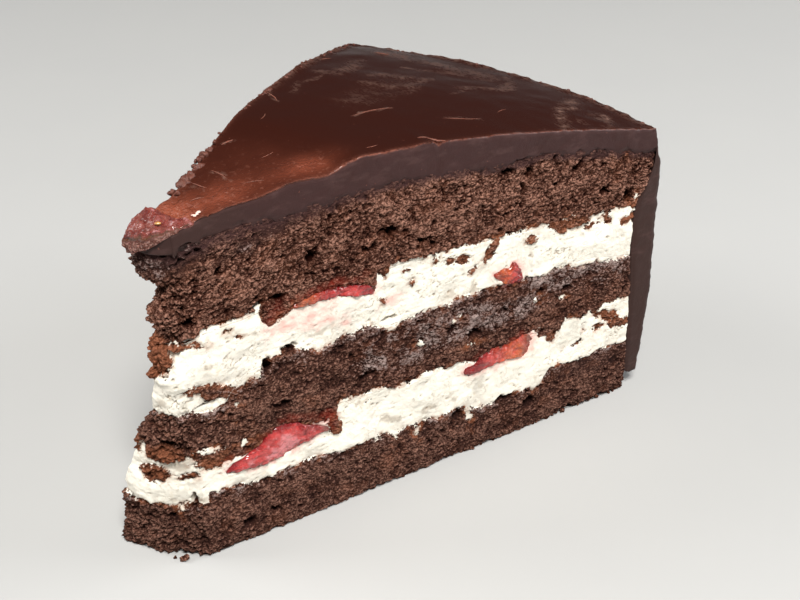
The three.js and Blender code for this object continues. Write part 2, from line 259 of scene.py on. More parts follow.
@dataclass(frozen=True)
class Wedge:
    """The form of the slice in millimetres, around the cake's axis.

    u runs from the tip (0) to the rim (1), and v from the front cut (0) to the back cut (1). Sizes
    by height stand a step apart, from the base up, and the others from the tip to the rim. A wave
    has a height and how often it turns along u, and the foot's also where it starts.
    """

    angle: float = math.radians(41.8)
    axis: Pair = (-59.0, -41.7)
    joints: tuple[Sizes, ...] = (
        (14, 15, 14.5, 13, 11.7, 11.2, 11.1, 14.8, 13.9),
        (26.1, 23.6, 26.5, 26.2, 26.4, 26.3, 26.2, 26.3, 26.1),
        (37.4, 42, 41.7, 42, 41.7, 41.6, 40.8, 41.6, 38.5),
        (53.8, 54.6, 55.2, 55, 55.7, 54.4, 53.4, 52.3, 53.1),
    )
    joint_waves: tuple[Pair, Pair] = ((1.2, 7), (0.6, 19))
    joint_phase: float = 1.7
    coat_thickness: Sizes = (3.7, 5.0, 6.8, 7.4, 7.7, 7.6, 6.3, 6.0, 5.9)
    crown: float = 81.4
    crown_at: float = 0.35
    rim_height: float = 68.9
    tip_height: float = 76.4
    rim_fall: float = 1.6
    tip_fall: float = 1.3
    foot_wave: Triple = (0.5, 9, 2)
    z_step: float = 10.0
    sponge_rim: Sizes = (118.6, 118.1, 117.8, 117.3, 116.6, 116.6, 120.4, 121.2)
    coat_rim: Sizes = (121.2, 122.4, 123.1, 123.4, 123.3, 122.9, 122.5, 120.3)
    tip_front_x: Sizes = (8.1, 7.6, 7.2, 6.7, 6.2, 6.6, 7.8, 8.0)
    tip_back_x: Sizes = (-5.8, -5.0, -3.6, -1.4, 1.7, 2.0, 3.1, 1.7)
    tip_back_y: Sizes = (14.5, 13.1, 11.2, 8.5, 4.7, 4.8, 4.9, 6.6)
    rim_spread: float = 3.0
    tip_rounding: float = 1.4
    coat_tip_front: Pair = (6.8, 0.0)
    coat_tip_back: Pair = (4.0, 3.0)
    coat_flare: float = 3.9
    coat_flare_reach: float = 0.07

    def by_height(self, values: Sequence[float], z: Array) -> Array:
        """Reads sizes that are given at even steps of height."""
        return spline(values)(z / (self.z_step * (len(values) - 1)))

    def top(self, u: Array, v: Array) -> Array:
        """The height of the coat's top, without the ridge that the knife left.

        Args:
            u: Places from tip to rim.
            v: Places from the front cut to the back.

        Returns:
            Heights.
        """
        beyond = np.clip((u - self.crown_at) / (1 - self.crown_at), 0, None)
        before = np.clip((self.crown_at - u) / self.crown_at, 0, None)
        fall = (self.crown - self.rim_height) * beyond**self.rim_fall
        return self.crown - fall - (self.crown - self.tip_height) * before**self.tip_fall + 0 * v

    def coat_foot(self, u: Array, v: Array) -> Array:
        """The height of the joint under the coat.

        Args:
            u: Places from tip to rim.
            v: Places from the front cut to the back.

        Returns:
            Heights.
        """
        thickness = spline(self.coat_thickness)(u)
        high, turns, start = self.foot_wave
        return self.top(u, v) - thickness + high * v * np.sin(turns * u + start)

    def joint(self, index: int, u: Array, v: Array) -> Array:
        """The height of a joint: 0 is the base, 1 to 4 lie between layers, 5 is under the coat.

        Args:
            index: Which joint.
            u: Places from tip to rim.
            v: Places from the front cut to the back.

        Returns:
            Heights.
        """
        if index == 0:
            return np.zeros(np.broadcast(u, v).shape)
        if index > len(self.joints):
            return self.coat_foot(u, v)
        values = self.joints[index - 1]
        phase = self.joint_phase * (index - 1)
        (high, slow), (low, quick) = self.joint_waves
        wander = high * np.sin(slow * u + phase) + low * np.sin(quick * u + 2 * phase)
        inwards = smoothstep(v, 0, 1) * smoothstep(u, 0, 0.2)
        return lerp(spline(values)(u), np.mean(values) + wander, inwards)

    def plan(self, u: Array, v: Array, ends: tuple[Array, Array], radius: Array, spread: Array) -> Array:
        """Points of the plan between the tip's blunt end and the rim.

        Args:
            u: Places from tip to rim.
            v: Places from the front cut to the back.
            ends: The tip's end of the front cut and of the back cut.
            radius: The rim's radius.
            spread: How far the back cut's rim end leans out, along the rim.

        Returns:
            Points, with x and y in the last axis.
        """
        across = ends[1] - ends[0]
        outwards = np.stack([-across[..., 1], across[..., 0]], -1)
        outwards = outwards / np.linalg.norm(outwards, axis=-1, keepdims=True)
        swell = self.tip_rounding * 4 * v * (1 - v)
        tip = ends[0] + across * v[..., None] + outwards * swell[..., None]
        angle = v * (self.angle + spread / radius)
        rim = np.stack([np.cos(angle), np.sin(angle)], -1) * np.asarray(radius)[..., None]
        return lerp(tip, rim, u[..., None])

    def body(self, u: Array, v: Array, z: Array) -> Array:
        """Points of the layered body, before any relief.

        Args:
            u: Places from tip to rim.
            v: Places from the front cut to the back.
            z: Heights.

        Returns:
            Points, with x, y and z in the last axis.
        """
        front_x = self.by_height(self.tip_front_x, z)
        front = np.stack([front_x, np.zeros_like(front_x)], -1)
        back_x = self.by_height(self.tip_back_x, z)
        back = np.stack([back_x, self.by_height(self.tip_back_y, z)], -1)
        spread = self.rim_spread * (1 - np.clip(z / self.rim_height, 0, 1))
        flat = self.plan(u, v, (front, back), self.by_height(self.sponge_rim, z), spread)
        return np.concatenate([flat, z[..., None]], -1)

    def coat(self, u: Array, v: Array, radius: Array) -> Array:
        """Points of the coat's slab in plan. Its tip is pressed out of the back cut.

        Args:
            u: Places from tip to rim.
            v: Places from the front cut to the back.
            radius: The slab's radius at the rim.

        Returns:
            Points, with x and y in the last axis.
        """
        ends = np.array(self.coat_tip_front), np.array(self.coat_tip_back)
        flat = self.plan(u, v, ends, radius, np.zeros_like(u))
        flare = self.coat_flare * v * bump(u, 0, self.coat_flare_reach)
        sideways = np.array([-math.sin(self.angle), math.cos(self.angle)])
        return flat + flare[..., None] * sideways

    def to_frame(self, points: Array) -> Array:
        """Moves points from around the cake's axis to the slice's own frame, in metres."""
        return (points + np.array([*self.axis, 0.0])) * MM


# ---- Meshes ----


@dataclass(frozen=True)
class Box:
    """A rectangle on the map that a patch is laid out in."""

    left: float
    low: float
    right: float
    high: float

    def at(self, across: Array, up: Array) -> Array:
        """Places on the map for shares of the rectangle's width and height."""
        x, y = np.broadcast_arrays(lerp(self.left, self.right, across), lerp(self.low, self.high, up))
        return np.stack([x, y], -1)

    def spread(self, shape: tuple[int, ...]) -> Array:
        """Places for a grid of so many columns and rows that fills the rectangle."""
        return self.at(np.linspace(0, 1, shape[0])[:, None], np.linspace(0, 1, shape[1])[None, :])

    @classmethod
    def cell(cls, index: int, count: int) -> "Box":
        """One of many small squares that fill the map, a little apart.

        Args:
            index: Which one.
            count: How many there are.

        Returns:
            The square.
        """
        cells, share = math.ceil(math.sqrt(count)), 0.95
        left, low = (index % cells) / cells, (index // cells) / cells
        return cls(left, low, left + share / cells, low + share / cells)


@dataclass
class Surface:
    """A mesh in the making: points, faces, a place for each face on the map, and attributes."""

    points: list[Array] = field(default_factory=list)
    faces: list[Array] = field(default_factory=list)
    places: list[Array] = field(default_factory=list)
    fields: list[Field] = field(default_factory=list)
    count: int = 0

    def add_points(self, points: Array, fields: Field) -> Array:
        """Adds points.

        Args:
            points: Any number of points, with x, y and z in the last axis.
            fields: Attributes at those points.

        Returns:
            The points' numbers, in the shape that they came in.
        """
        numbers = np.arange(self.count, self.count + points[..., 0].size)
        self.points.append(points.reshape(-1, 3))
        self.fields.append({name: np.ravel(values) for name, values in fields.items()})
        self.count += numbers.size
        return numbers.reshape(points.shape[:-1])

    def add_faces(self, faces: Array, places: Array) -> None:
        """Adds faces, with point numbers and the corners' places on the map in the same order."""
        self.faces.append(faces.reshape(-1, faces.shape[-1]))
        self.places.append(places.reshape(-1, 2))

    def every_point(self) -> Array:
        """All points so far, by number."""
        return np.concatenate(self.points)

    def add_grid(self, numbers: Array, places: Array) -> None:
        """Adds the faces of a grid of points.

        Args:
            numbers: Point numbers, in rows and columns.
            places: Each grid point's place on the map.
        """
        order = [(0, 0), (1, 0), (1, 1), (0, 1)]
        rows, columns = numbers.shape[0] - 1, numbers.shape[1] - 1

        def corners(grid: Array) -> Array:
            """Each face's four corners, round the face."""
            return np.stack([grid[i : i + rows, j : j + columns] for i, j in order], 2)

        self.add_faces(corners(numbers).reshape(-1, 4), corners(places).reshape(-1, 2))

    def add_tube(self, numbers: Array, box: Box) -> None:
        """Adds the faces of a closed tube: its side, and a round face at each end.

        Args:
            numbers: Point numbers, by column round the tube and row from end to end.
            box: Its rectangle on the map. The side fills the lower part, and the ends lie above.
        """
        around, along = numbers.shape
        side, level, reach = 0.85, 0.93, 0.05
        lower = Box(box.left, box.low, box.right, lerp(box.low, box.high, side))
        self.add_grid(np.concatenate([numbers, numbers[:1]]), lower.spread((around + 1, along)))
        turn = np.arange(around) * 2 * math.pi / around
        for ring, middle, step in ((numbers[:, 0], 0.2, -1), (numbers[:, -1], 0.6, 1)):
            places = box.at(middle + reach * np.cos(turn), level + reach * np.sin(turn))
            self.add_faces(ring[None, ::step], places[None, ::step])

    def build(self, name: str, wedge: Wedge, finish: Material) -> Piece:
        """Makes the mesh object.

        Args:
            name: The piece's name.
            wedge: The slice's form, which says where its frame lies.
            finish: The piece's material.

        Returns:
            The new object, linked to the scene.
        """
        mesh = bpy.data.meshes.new(name)
        points = wedge.to_frame(self.every_point())
        loops = np.concatenate([faces.ravel() for faces in self.faces])
        sizes = np.concatenate([np.full(len(faces), faces.shape[-1]) for faces in self.faces])
        mesh.vertices.add(len(points))
        mesh.vertices.foreach_set("co", points.astype(np.float32).ravel())
        mesh.loops.add(len(loops))
        mesh.loops.foreach_set("vertex_index", loops.astype(np.int32))
        mesh.polygons.add(len(sizes))
        starts = np.concatenate([[0], np.cumsum(sizes)[:-1]])
        mesh.polygons.foreach_set("loop_start", starts.astype(np.int32))
        mesh.update(calc_edges=True)
        mesh.validate()
        layer = mesh.uv_layers.new(name="OFBake")
        layer.uv.foreach_set("vector", np.concatenate(self.places).astype(np.float32).ravel())
        for key in self.fields[0]:
            values = np.concatenate([fields[key] for fields in self.fields])
            attribute = mesh.attributes.new(key, "FLOAT", "POINT")
            attribute.data.foreach_set("value", values.astype(np.float32))
        mesh.polygons.foreach_set("use_smooth", np.full(len(sizes), True))
        mesh.materials.append(finish)
        piece = bpy.data.objects.new(name, mesh)
        bpy.context.scene.collection.objects.link(piece)
        return piece


@dataclass
class Ring:
    """A closed walk round a unit square: front, rim, back and tip, with a step for each column."""

    counts: tuple[int, int, int, int]
    edges: Callable[[Array], Array] = lambda share: share

    def __post_init__(self) -> None:
        """Works out the walk's places."""
        spans = [np.arange(count) / count for count in self.counts]
        ones = [np.ones(count) for count in self.counts]
        zeros = [np.zeros(count) for count in self.counts]
        rim, tip = self.edges(spans[1]), self.edges(1 - spans[3])
        self.u = np.concatenate([spans[0], ones[1], 1 - spans[2], zeros[3]])
        self.v = np.concatenate([zeros[0], rim, ones[2], tip])
        self.starts = np.cumsum([0, *self.counts])

    def strips(self, surface: Surface, numbers: Array, boxes: Sequence[Box]) -> None:
        """Adds the faces of a ribbon round the ring.

        Args:
            surface: The mesh in the making.
            numbers: Point numbers, by column and row, from the foot up.
            boxes: The map's rectangle for each of the four sides.
        """
        closed = np.concatenate([numbers, numbers[:1]])
        for side, box in enumerate(boxes):
            start, end = self.starts[side], self.starts[side + 1]
            surface.add_grid(closed[start : end + 1], box.spread((end - start + 1, numbers.shape[1])))

    def filled(self, border: Array, inner: Array) -> Array:
        """Puts the walk round the points inside it.

        Args:
            border: Numbers of the walk's points.
            inner: Numbers of the points inside, from tip to rim and from front to back.

        Returns:
            The numbers of both, as one grid.
        """
        long, wide = self.counts[:2]
        grid = np.pad(inner, 1)
        grid[:, 0] = border[: long + 1]
        grid[long, :] = border[long : long + wide + 1]
        grid[:, wide] = border[long + wide : 2 * long + wide + 1][::-1]
        grid[0, :] = np.append(border[2 * long + wide :], border[0])[::-1]
        return grid


class Coarse:
    """A plain cap over a ring, for a face that nothing shows of."""

    def __init__(self, ring: Ring, inner: tuple[int, int]) -> None:
        """Divides the unit square inside a ring into triangles.

        Args:
            ring: The walk round the square.
            inner: How many points lie inside, along and across.
        """
        along, across = (np.arange(1, count + 1) / (count + 1) for count in inner)
        grid = np.stack(np.meshgrid(along, across, indexing="ij"), -1).reshape(-1, 2)
        border = np.stack([ring.u, ring.v], -1)
        every = np.concatenate([border, grid])
        edges = [(i, (i + 1) % len(border)) for i in range(len(border))]
        inside, nearly_same = 1, 1e-9
        corners = [Vector(place) for place in every.tolist()]
        _, _, faces, origins, *_ = delaunay_2d_cdt(corners, edges, [], inside, nearly_same)
        self.u, self.v = grid[:, 0], grid[:, 1]
        self.faces = np.array([numbers[0] for numbers in origins])[np.array(faces)]
        self.every = every

    def add(self, surface: Surface, border: Array, inner: Array, box: Box, flip: bool) -> None:
        """Adds the cap's faces.

        Args:
            surface: The mesh in the making.
            border: Numbers of the ring's points.
            inner: Numbers of the points inside.
            box: The cap's rectangle on the map.
            flip: Whether it looks the other way.
        """
        faces = self.faces[:, ::-1] if flip else self.faces
        places = box.at(self.every[:, 0], self.every[:, 1])
        numbers = np.concatenate([border, inner])
        surface.add_faces(numbers[faces], places[faces])


# ---- Shader graphs ----


class Value:
    """A socket's number. Arithmetic on it adds Math nodes."""

    def __init__(self, graph: "Graph", socket: Socket) -> None:
        """Wraps a socket of a graph."""
        self.graph = graph
        self.socket = socket

    def math(self, operation: str, *others: "Value | float", clamp: bool = False) -> "Value":
        """Adds a Math node.

        Args:
            operation: The node's operation.
            others: The node's further numbers.
            clamp: Whether the result is kept from 0 to 1.

        Returns:
            The result.
        """
        settings = {"operation": operation, "use_clamp": clamp}
        inputs = dict(enumerate((self, *others)))
        return Value(self.graph, self.graph.node("ShaderNodeMath", settings, inputs).outputs[0])

    def __add__(self, other: "Value | float") -> "Value":
        """Adds."""
        return self.math("ADD", other)

    __radd__ = __add__

    def __mul__(self, other: "Value | float") -> "Value":
        """Multiplies."""
        return self.math("MULTIPLY", other)

    __rmul__ = __mul__

    def __sub__(self, other: "Value | float") -> "Value":
        """Subtracts."""
        return self.math("SUBTRACT", other)

    def __rsub__(self, other: float) -> "Value":
        """Subtracts from a number."""
        return self.math("MULTIPLY_ADD", -1.0, other)

    def smooth(self, low: float, high: float) -> "Value":
        """Eases from 0 at low to 1 at high.

        Args:
            low: Where the result leaves 0.
            high: Where the result reaches 1.

        Returns:
            The eased number.
        """
        settings = {"interpolation_type": "SMOOTHSTEP"}
        inputs = {"Value": self, "From Min": low, "From Max": high}
        return Value(self.graph, self.graph.node("ShaderNodeMapRange", settings, inputs).outputs[0])


class Graph:
    """A material's nodes."""

    # The numbers of a mix node's sockets for colours.
    SHARE, START, END, MIXED = 0, 6, 7, 2
    # Grains are a little flat, with uneven borders, and their height falls off by this much.
    GRAIN_SHAPE: Triple = (0.9, 0.9, 1.25)
    GRAIN_WOBBLE, GRAIN_FALL = 0.9, 1.35

    def __init__(self, name: str) -> None:
        """Starts a material with nothing but its output.

        Args:
            name: The material's name.
        """
        self.material = bpy.data.materials.new(name)
        self.material.use_nodes = True
        self.nodes = self.material.node_tree.nodes
        self.nodes.clear()
        self.place: Socket | None = None

    def node(self, kind: str, settings: dict | None = None, inputs: dict | None = None) -> bpy.types.Node:
        """Adds a node.

        Args:
            kind: The node's type.
            settings: Its own settings, which are set first.
            inputs: Values or links for its sockets, by name or number.

        Returns:
            The node.
        """
        made = self.nodes.new(kind)
        for name, setting in (settings or {}).items():
            setattr(made, name, setting)
        for key, source in (inputs or {}).items():
            socket = made.inputs[key]
            if isinstance(source, Value):
                source = source.socket
            if isinstance(source, Socket):
                self.material.node_tree.links.new(source, socket)
            else:
                socket.default_value = (*source, 1.0) if isinstance(source, tuple) else source
        return made

    def attribute(self, name: str) -> Value:
        """An attribute of the mesh, as a number."""
        made = self.node("ShaderNodeAttribute", {"attribute_name": name})
        return Value(self, made.outputs["Fac"])

    def noise(self, size: float, detail: float = 2.0, stretch: Triple = EVEN, rough: float = 0.6) -> Value:
        """Smooth noise around a half, whose bumps lie about a size in millimetres apart."""
        inputs = {"Vector": self.scaled(stretch, size), "Scale": 1.0, "Detail": detail, "Roughness": rough}
        return Value(self, self.node("ShaderNodeTexNoise", None, inputs).outputs["Fac"])

    def grains(self, size: float) -> Value:
        """Close-packed grains: 1 in the middle of each, falling to 0 in the gaps.

        Args:
            size: The grains' size in millimetres.

        Returns:
            The grains' height.
        """
        places = self.scaled(self.GRAIN_SHAPE, size)
        uneven = {"Vector": places, "Scale": self.GRAIN_WOBBLE, "Detail": 2.0}
        wobble = self.node("ShaderNodeTexNoise", None, uneven)
        both = {0: places, 1: wobble.outputs["Color"]}
        moved = self.node("ShaderNodeVectorMath", {"operation": "ADD"}, both)
        cells = self.node("ShaderNodeTexVoronoi", None, {"Vector": moved.outputs[0], "Scale": 1.0})
        away = Value(self, cells.outputs["Distance"])
        return away.math("MULTIPLY_ADD", -self.GRAIN_FALL, 1.0, clamp=True)

    def scaled(self, stretch: Triple, size: float) -> Socket:
        """Places on the piece, counted in steps of a size.

        Args:
            stretch: How many times closer the steps lie along each axis.
            size: The step in millimetres.

        Returns:
            The places.
        """
        if self.place is None:
            self.place = self.node("ShaderNodeTexCoord").outputs["Object"]
        steps = self.node("ShaderNodeVectorMath", {"operation": "MULTIPLY"}, {0: self.place})
        steps.inputs[1].default_value = tuple(share / (size * MM) for share in stretch)
        return steps.outputs[0]

    def mix(self, share: Value | float, start: Socket | Triple, end: Socket | Triple) -> Socket:
        """Mixes two colours.

        Args:
            share: How much of the second colour there is.
            start: The first colour.
            end: The second colour.

        Returns:
            The mixed colour.
        """
        settings = {"data_type": "RGBA", "clamp_factor": True}
        inputs = {self.SHARE: share, self.START: start, self.END: end}
        return self.node("ShaderNodeMix", settings, inputs).outputs[self.MIXED]

    def bump(self, height: Value, depth: float, below: Socket | None = None) -> Socket:
        """Roughens the surface.

        Args:
            height: The height of each spot, from 0 to 1.
            depth: The height of 1, in millimetres.
            below: The roughened surface under this one.

        Returns:
            The surface's normal.
        """
        inputs = {"Strength": 1.0, "Distance": depth * MM, "Height": height}
        if below is not None:
            inputs["Normal"] = below
        return self.node("ShaderNodeBump", None, inputs).outputs[0]

    def finish(self, **inputs: object) -> Material:
        """Adds the shader and the output.

        Args:
            inputs: The shader's sockets, with _ for each space in their names.

        Returns:
            The material.
        """
        named = {name.replace("_", " "): source for name, source in inputs.items()}
        shader = self.node("ShaderNodeBsdfPrincipled", None, named)
        self.node("ShaderNodeOutputMaterial", None, {"Surface": shader.outputs[0]})
        return self.material


# ---- Finishes ----


@dataclass(frozen=True)
class Mottle:
    """Noise that shows in a finish only where it is high: from low, and fully from high."""

    size: float
    detail: float
    low: float
    high: float
    strength: float = 1.0
    stretch: Triple = EVEN
    rough: float = 0.6

    def on(self, graph: Graph) -> Value:
        """Adds the noise to a material, from 0 to its strength."""
        shown = graph.noise(self.size, self.detail, self.stretch, self.rough).smooth(self.low, self.high)
        return shown if self.strength == 1.0 else shown * self.strength


@dataclass(frozen=True)
class CutFinish:
    """The look of a cut face: dark crumb, white cream, and what the knife dragged between them."""

    name: str
    # The crumb runs by its tone from pit through crumb to grain: painted shade in the gaps and painted
    # light on the grains' tops, over the crumb's own colour.
    pit: Triple = (0.012, 0.0026, 0.0014)
    crumb: Triple = (0.074, 0.029, 0.019)
    grain: Triple = (0.335, 0.17, 0.122)
    warm: Triple = (0.3, 0.1, 0.045)
    # Darkening for pressed crumb, also used as painted shade on the lower sponges.
    pressed: Triple = (0.032, 0.0152, 0.013)
    coated: Triple = (0.05, 0.024, 0.023)
    # The veil is cream on the grain tops, and also painted highlights on the pressed crumb under the coat.
    veil_and_sheen: Triple = (0.24, 0.172, 0.158)
    smear: Triple = (0.35, 0.265, 0.24)
    juice: Triple = (0.2, 0.02, 0.012)
    cream: Triple = (0.8, 0.76, 0.665)
    # The cream's darker colour where its tone is low: painted shade in its dips, pits and foot.
    hollow: Triple = (0.64, 0.6, 0.525)
    crack: Triple = (0.22, 0.145, 0.085)
    blush: Triple = (0.8, 0.46, 0.4)
    tan: Triple = (0.54, 0.41, 0.23)
    soaked: Triple = (0.3, 0.11, 0.04)
    flecks: Mottle = Mottle(0.42, 3.0, 0.3, 0.7, stretch=(0.85, 0.85, 1.2), rough=0.66)
    patches: Mottle = Mottle(5.0, 3.0, 0.5, 0.75, 0.18)
    spots: Mottle = Mottle(2.6, 4.0, 0.58, 0.76, 0.42)
    specks: Mottle = Mottle(0.45, 2.0, 0.66, 0.74, 0.6)
    speckled: Mottle = Mottle(4.0, 2.0, 0.45, 0.65)
    lined: Mottle = Mottle(3.0, 2.0, 0.48, 0.6)
    line_width: float = 0.022
    grain_size: float = 0.48
    depth: float = 0.28
    shine: float = 0.04

    def crumb_colour(self, graph: Graph, tone: Value) -> Socket:
        """The sponge's colour.

        Args:
            graph: The material's nodes.
            tone: The crumb's relief, from 0 in a gap to 1 on a grain.

        Returns:
            The colour.
        """
        # Painted shade in the gaps and painted light on the grain tops, by the tone.
        colour = graph.mix(tone.smooth(0.16, 0.47), self.pit, self.crumb)
        colour = graph.mix(tone.smooth(0.45, 0.9), colour, self.grain)
        # Pressed crumb, and painted shade on the lower sponges, darken the colour.
        colour = graph.mix(graph.attribute("pressed") * (0.95 - tone * 0.45), colour, self.pressed)
        warmed = self.patches.on(graph) + graph.attribute("fringe")
        colour = graph.mix(warmed * (tone + 0.15), colour, self.warm)
        colour = graph.mix(graph.attribute("coated") * (1.0 - tone * 0.3), colour, self.coated)
        film = graph.attribute("film")
        # Cream veil on grain tops, and painted highlights where the pressed crumb is marked.
        covered = (tone * 1.9 + film * 1.3 - 1.55).smooth(0.0, 1.0) * film.smooth(0.0, 0.35)
        colour = graph.mix(covered, colour, graph.mix(film.smooth(0.5, 1.0), self.veil_and_sheen, self.smear))
        return graph.mix(graph.attribute("stain") * 0.85, colour, self.juice)

    def cream_colour(self, graph: Graph, lines: Value) -> Socket:
        """The cream's colour.

        Args:
            graph: The material's nodes.
            lines: Where fine cracks run.

        Returns:
            The colour.
        """
        # Painted shade: the cream darkens where its tone is low.
        colour = graph.mix(graph.attribute("height").smooth(0.1, 0.6), self.hollow, self.cream)
        colour = graph.mix(self.spots.on(graph), colour, self.tan)
        colour = graph.mix(lines * 0.35, colour, self.tan)
        colour = graph.mix(self.specks.on(graph) * self.speckled.on(graph), colour, self.crack)
        colour = graph.mix(graph.attribute("crack"), colour, self.crack)
        colour = graph.mix(graph.attribute("fringe") * 0.6, colour, self.soaked)
        return graph.mix(graph.attribute("stain"), colour, self.blush)

    def make(self) -> Material:
        """Makes the material.

        Returns:
            The material.
        """
        graph = Graph(self.name)
        flecks = self.flecks.on(graph)
        grains = graph.grains(self.grain_size)
        white = (graph.attribute("cream") + flecks * 0.8 - 0.4).smooth(0.38, 0.62)
        # The tone: relief from the mesh, the grains and random flecks, which the crumb colour paints as
        # shade and light.
        tone = graph.attribute("height") * 0.58 + grains * 0.2 + flecks * 0.56 - 0.21
        away = (graph.noise(1.3, 4.0) - 0.5).math("ABSOLUTE")
        lines = (1.0 - away.smooth(0.0, self.line_width)) * self.lined.on(graph)
        colour = graph.mix(white, self.crumb_colour(graph, tone), self.cream_colour(graph, lines))
        crumb_relief = (grains * 0.3 + flecks * 0.8) * (1.0 - white)
        cream_relief = (graph.noise(0.9, 4.0, rough=0.62) * 0.8 - lines * 0.2) * white
        return graph.finish(
            Base_Color=colour,
            Roughness=0.92 - white * 0.3,
            Normal=graph.bump(crumb_relief + cream_relief, self.depth),
            Specular_IOR_Level=self.shine,
        )


@dataclass(frozen=True)
class CoatFinish:
    """The look of the chocolate coat: glossy on top, dull where the knife went through it."""

    name: str = "chocolate_coat"
    gloss: Triple = (0.025, 0.0053, 0.0028)
    # Painted reflection: the warm colour of patches on the top near the front cut.
    glow: Triple = (0.235, 0.058, 0.03)
    cut: Triple = (0.0355, 0.0132, 0.0122)
    # Lighter colour of the painted sheen streaks on the cut faces.
    smear_sheen: Triple = (0.068, 0.033, 0.03)
    deep: Triple = (0.032, 0.0135, 0.0105)
    # A lighter colour for the top's cut edges, a painted highlight where the arris catches the light; the
    # coat's small specks take it too.
    edge: Triple = (0.19, 0.066, 0.044)
    scuff: Triple = (0.17, 0.095, 0.072)
    # Painted highlights: the colour of pale flecks in the painted reflection's patch.
    highlight_fleck: Triple = (0.4, 0.17, 0.12)
    streaks: Mottle = Mottle(2.2, 4.0, 0.5, 0.72, 0.45, (0.5, 0.5, 1.3))
    highlight_breakup: Mottle = Mottle(0.6, 2.0, 0.25, 0.6)
    dust: Mottle = Mottle(0.5, 4.0, 0.35, 0.65, stretch=(1.0, 0.4, 1.0))
    dusty: Mottle = Mottle(3.0, 3.0, 0.4, 0.62)
    specks: Mottle = Mottle(0.7, 1.0, 0.78, 0.82, 0.6)
    highlight_flecks: Mottle = Mottle(1.1, 4.0, 0.56, 0.68, 0.5)
    grit: float = 0.07
    blisters: float = 1.3
    waves: float = 0.03
    shine: float = 0.25

    def make(self) -> Material:
        """Makes the material.

        Returns:
            The material.
        """
        graph = Graph(self.name)
        cut, glow = graph.attribute("cut"), graph.attribute("glow")
        mottle = graph.noise(4.0, 4.0)
        # Painted reflection: a warm patch on the top near the front cut.
        colour = graph.mix(glow * (0.2 + mottle * 1.5), self.gloss, self.glow)
        faded = graph.mix(mottle.smooth(0.35, 0.8) * 0.4, self.cut, self.gloss)
        colour = graph.mix(cut, colour, graph.mix(graph.attribute("deep"), faded, self.deep))
        # Painted sheen: lighter streaks down the cut faces, along the knife's smears.
        colour = graph.mix(self.streaks.on(graph) * cut, colour, self.smear_sheen)
        # Painted highlight: a broken lighter line along the top's cut edges.
        colour = graph.mix(graph.attribute("edge") * self.highlight_breakup.on(graph), colour, self.edge)
        scuff = graph.attribute("scuff") * self.dust.on(graph) * (0.25 + self.dusty.on(graph))
        colour = graph.mix(scuff, colour, self.scuff)
        colour = graph.mix(self.specks.on(graph), colour, self.edge)
        # Painted highlights: pale flecks in the painted reflection's patch.
        colour = graph.mix(self.highlight_flecks.on(graph) * glow, colour, self.highlight_fleck)
        relief = graph.bump(graph.noise(0.35, 3.0) * (cut * 0.8 + scuff), self.grit)
        relief = graph.bump(graph.noise(1.2, 4.0) * glow, self.blisters, relief)
        return graph.finish(
            Base_Color=colour,
            Roughness=0.26 + cut * 0.34 + scuff * 0.3,
            Normal=graph.bump(graph.noise(2.4, 3.0), self.waves, relief),
            Specular_IOR_Level=self.shine,
        )


@dataclass(frozen=True)
class FruitFinish:
    """The look of wet red fruit, from its skin to its pale flesh."""

    name: str = "wet_fruit"
    skin: Triple = (0.2, 0.01, 0.011)
    flesh: Triple = (0.45, 0.045, 0.042)
    pale: Triple = (0.58, 0.185, 0.19)
    amber: Triple = (0.56, 0.125, 0.03)
    dirt: Triple = (0.12, 0.045, 0.033)
    ash: Triple = (0.24, 0.12, 0.1)
    wet: float = 0.85
    depth: float = 0.6

    def make(self) -> Material:
        """Makes the material.

        Returns:
            The material.
        """
        graph = Graph(self.name)
        mottle, fine = graph.noise(1.3, 4.0), graph.noise(0.36, 3.0)
        tone = graph.attribute("flesh") + mottle * 1.3 - 0.65
        colour = graph.mix(tone.smooth(0.1, 0.7), self.skin, self.flesh)
        colour = graph.mix(tone.smooth(0.7, 1.2), colour, self.pale)
        colour = graph.mix(graph.attribute("amber"), colour, self.amber)
        dirt = graph.attribute("dirt")
        crust = graph.mix((mottle * 0.4 + fine * 0.6).smooth(0.42, 0.6), self.dirt, self.ash)
        colour = graph.mix(dirt * (0.5 + fine), colour, crust)
        return graph.finish(
            Base_Color=colour,
            Roughness=0.24 + dirt * 0.5,
            Normal=graph.bump(mottle * 0.5 + fine * 0.7, self.depth),
            Specular_IOR_Level=0.2,
            Coat_Weight=(1.0 - dirt) * self.wet,
            Coat_Roughness=0.06,
            Subsurface_Weight=0.12,
            Subsurface_Scale=1.5 * MM,
        )


CRUSHED = FruitFinish(
    "crushed_fruit",
    skin=(0.11, 0.0115, 0.009),
    flesh=(0.19, 0.037, 0.027),
    pale=(0.33, 0.14, 0.14),
    amber=(0.1, 0.04, 0.019),
    dirt=(0.09, 0.028, 0.019),
    ash=(0.31, 0.17, 0.14),
    wet=0.5,
)


@dataclass(frozen=True)
class SeedFinish:
    """The look of a yellow seed of the fruit."""

    name: str = "fruit_seed"
    husk: Triple = (0.5, 0.27, 0.09)
    tip: Triple = (0.3, 0.13, 0.04)
    tipped: Mottle = Mottle(0.5, 2.0, 0.4, 0.7)

    def make(self) -> Material:
        """Makes the material.

        Returns:
            The material.
        """
        graph = Graph(self.name)
        colour = graph.mix(self.tipped.on(graph), self.husk, self.tip)
        return graph.finish(Base_Color=colour, Roughness=0.35, Coat_Weight=0.5)


# ---- What shows on the cut faces ----


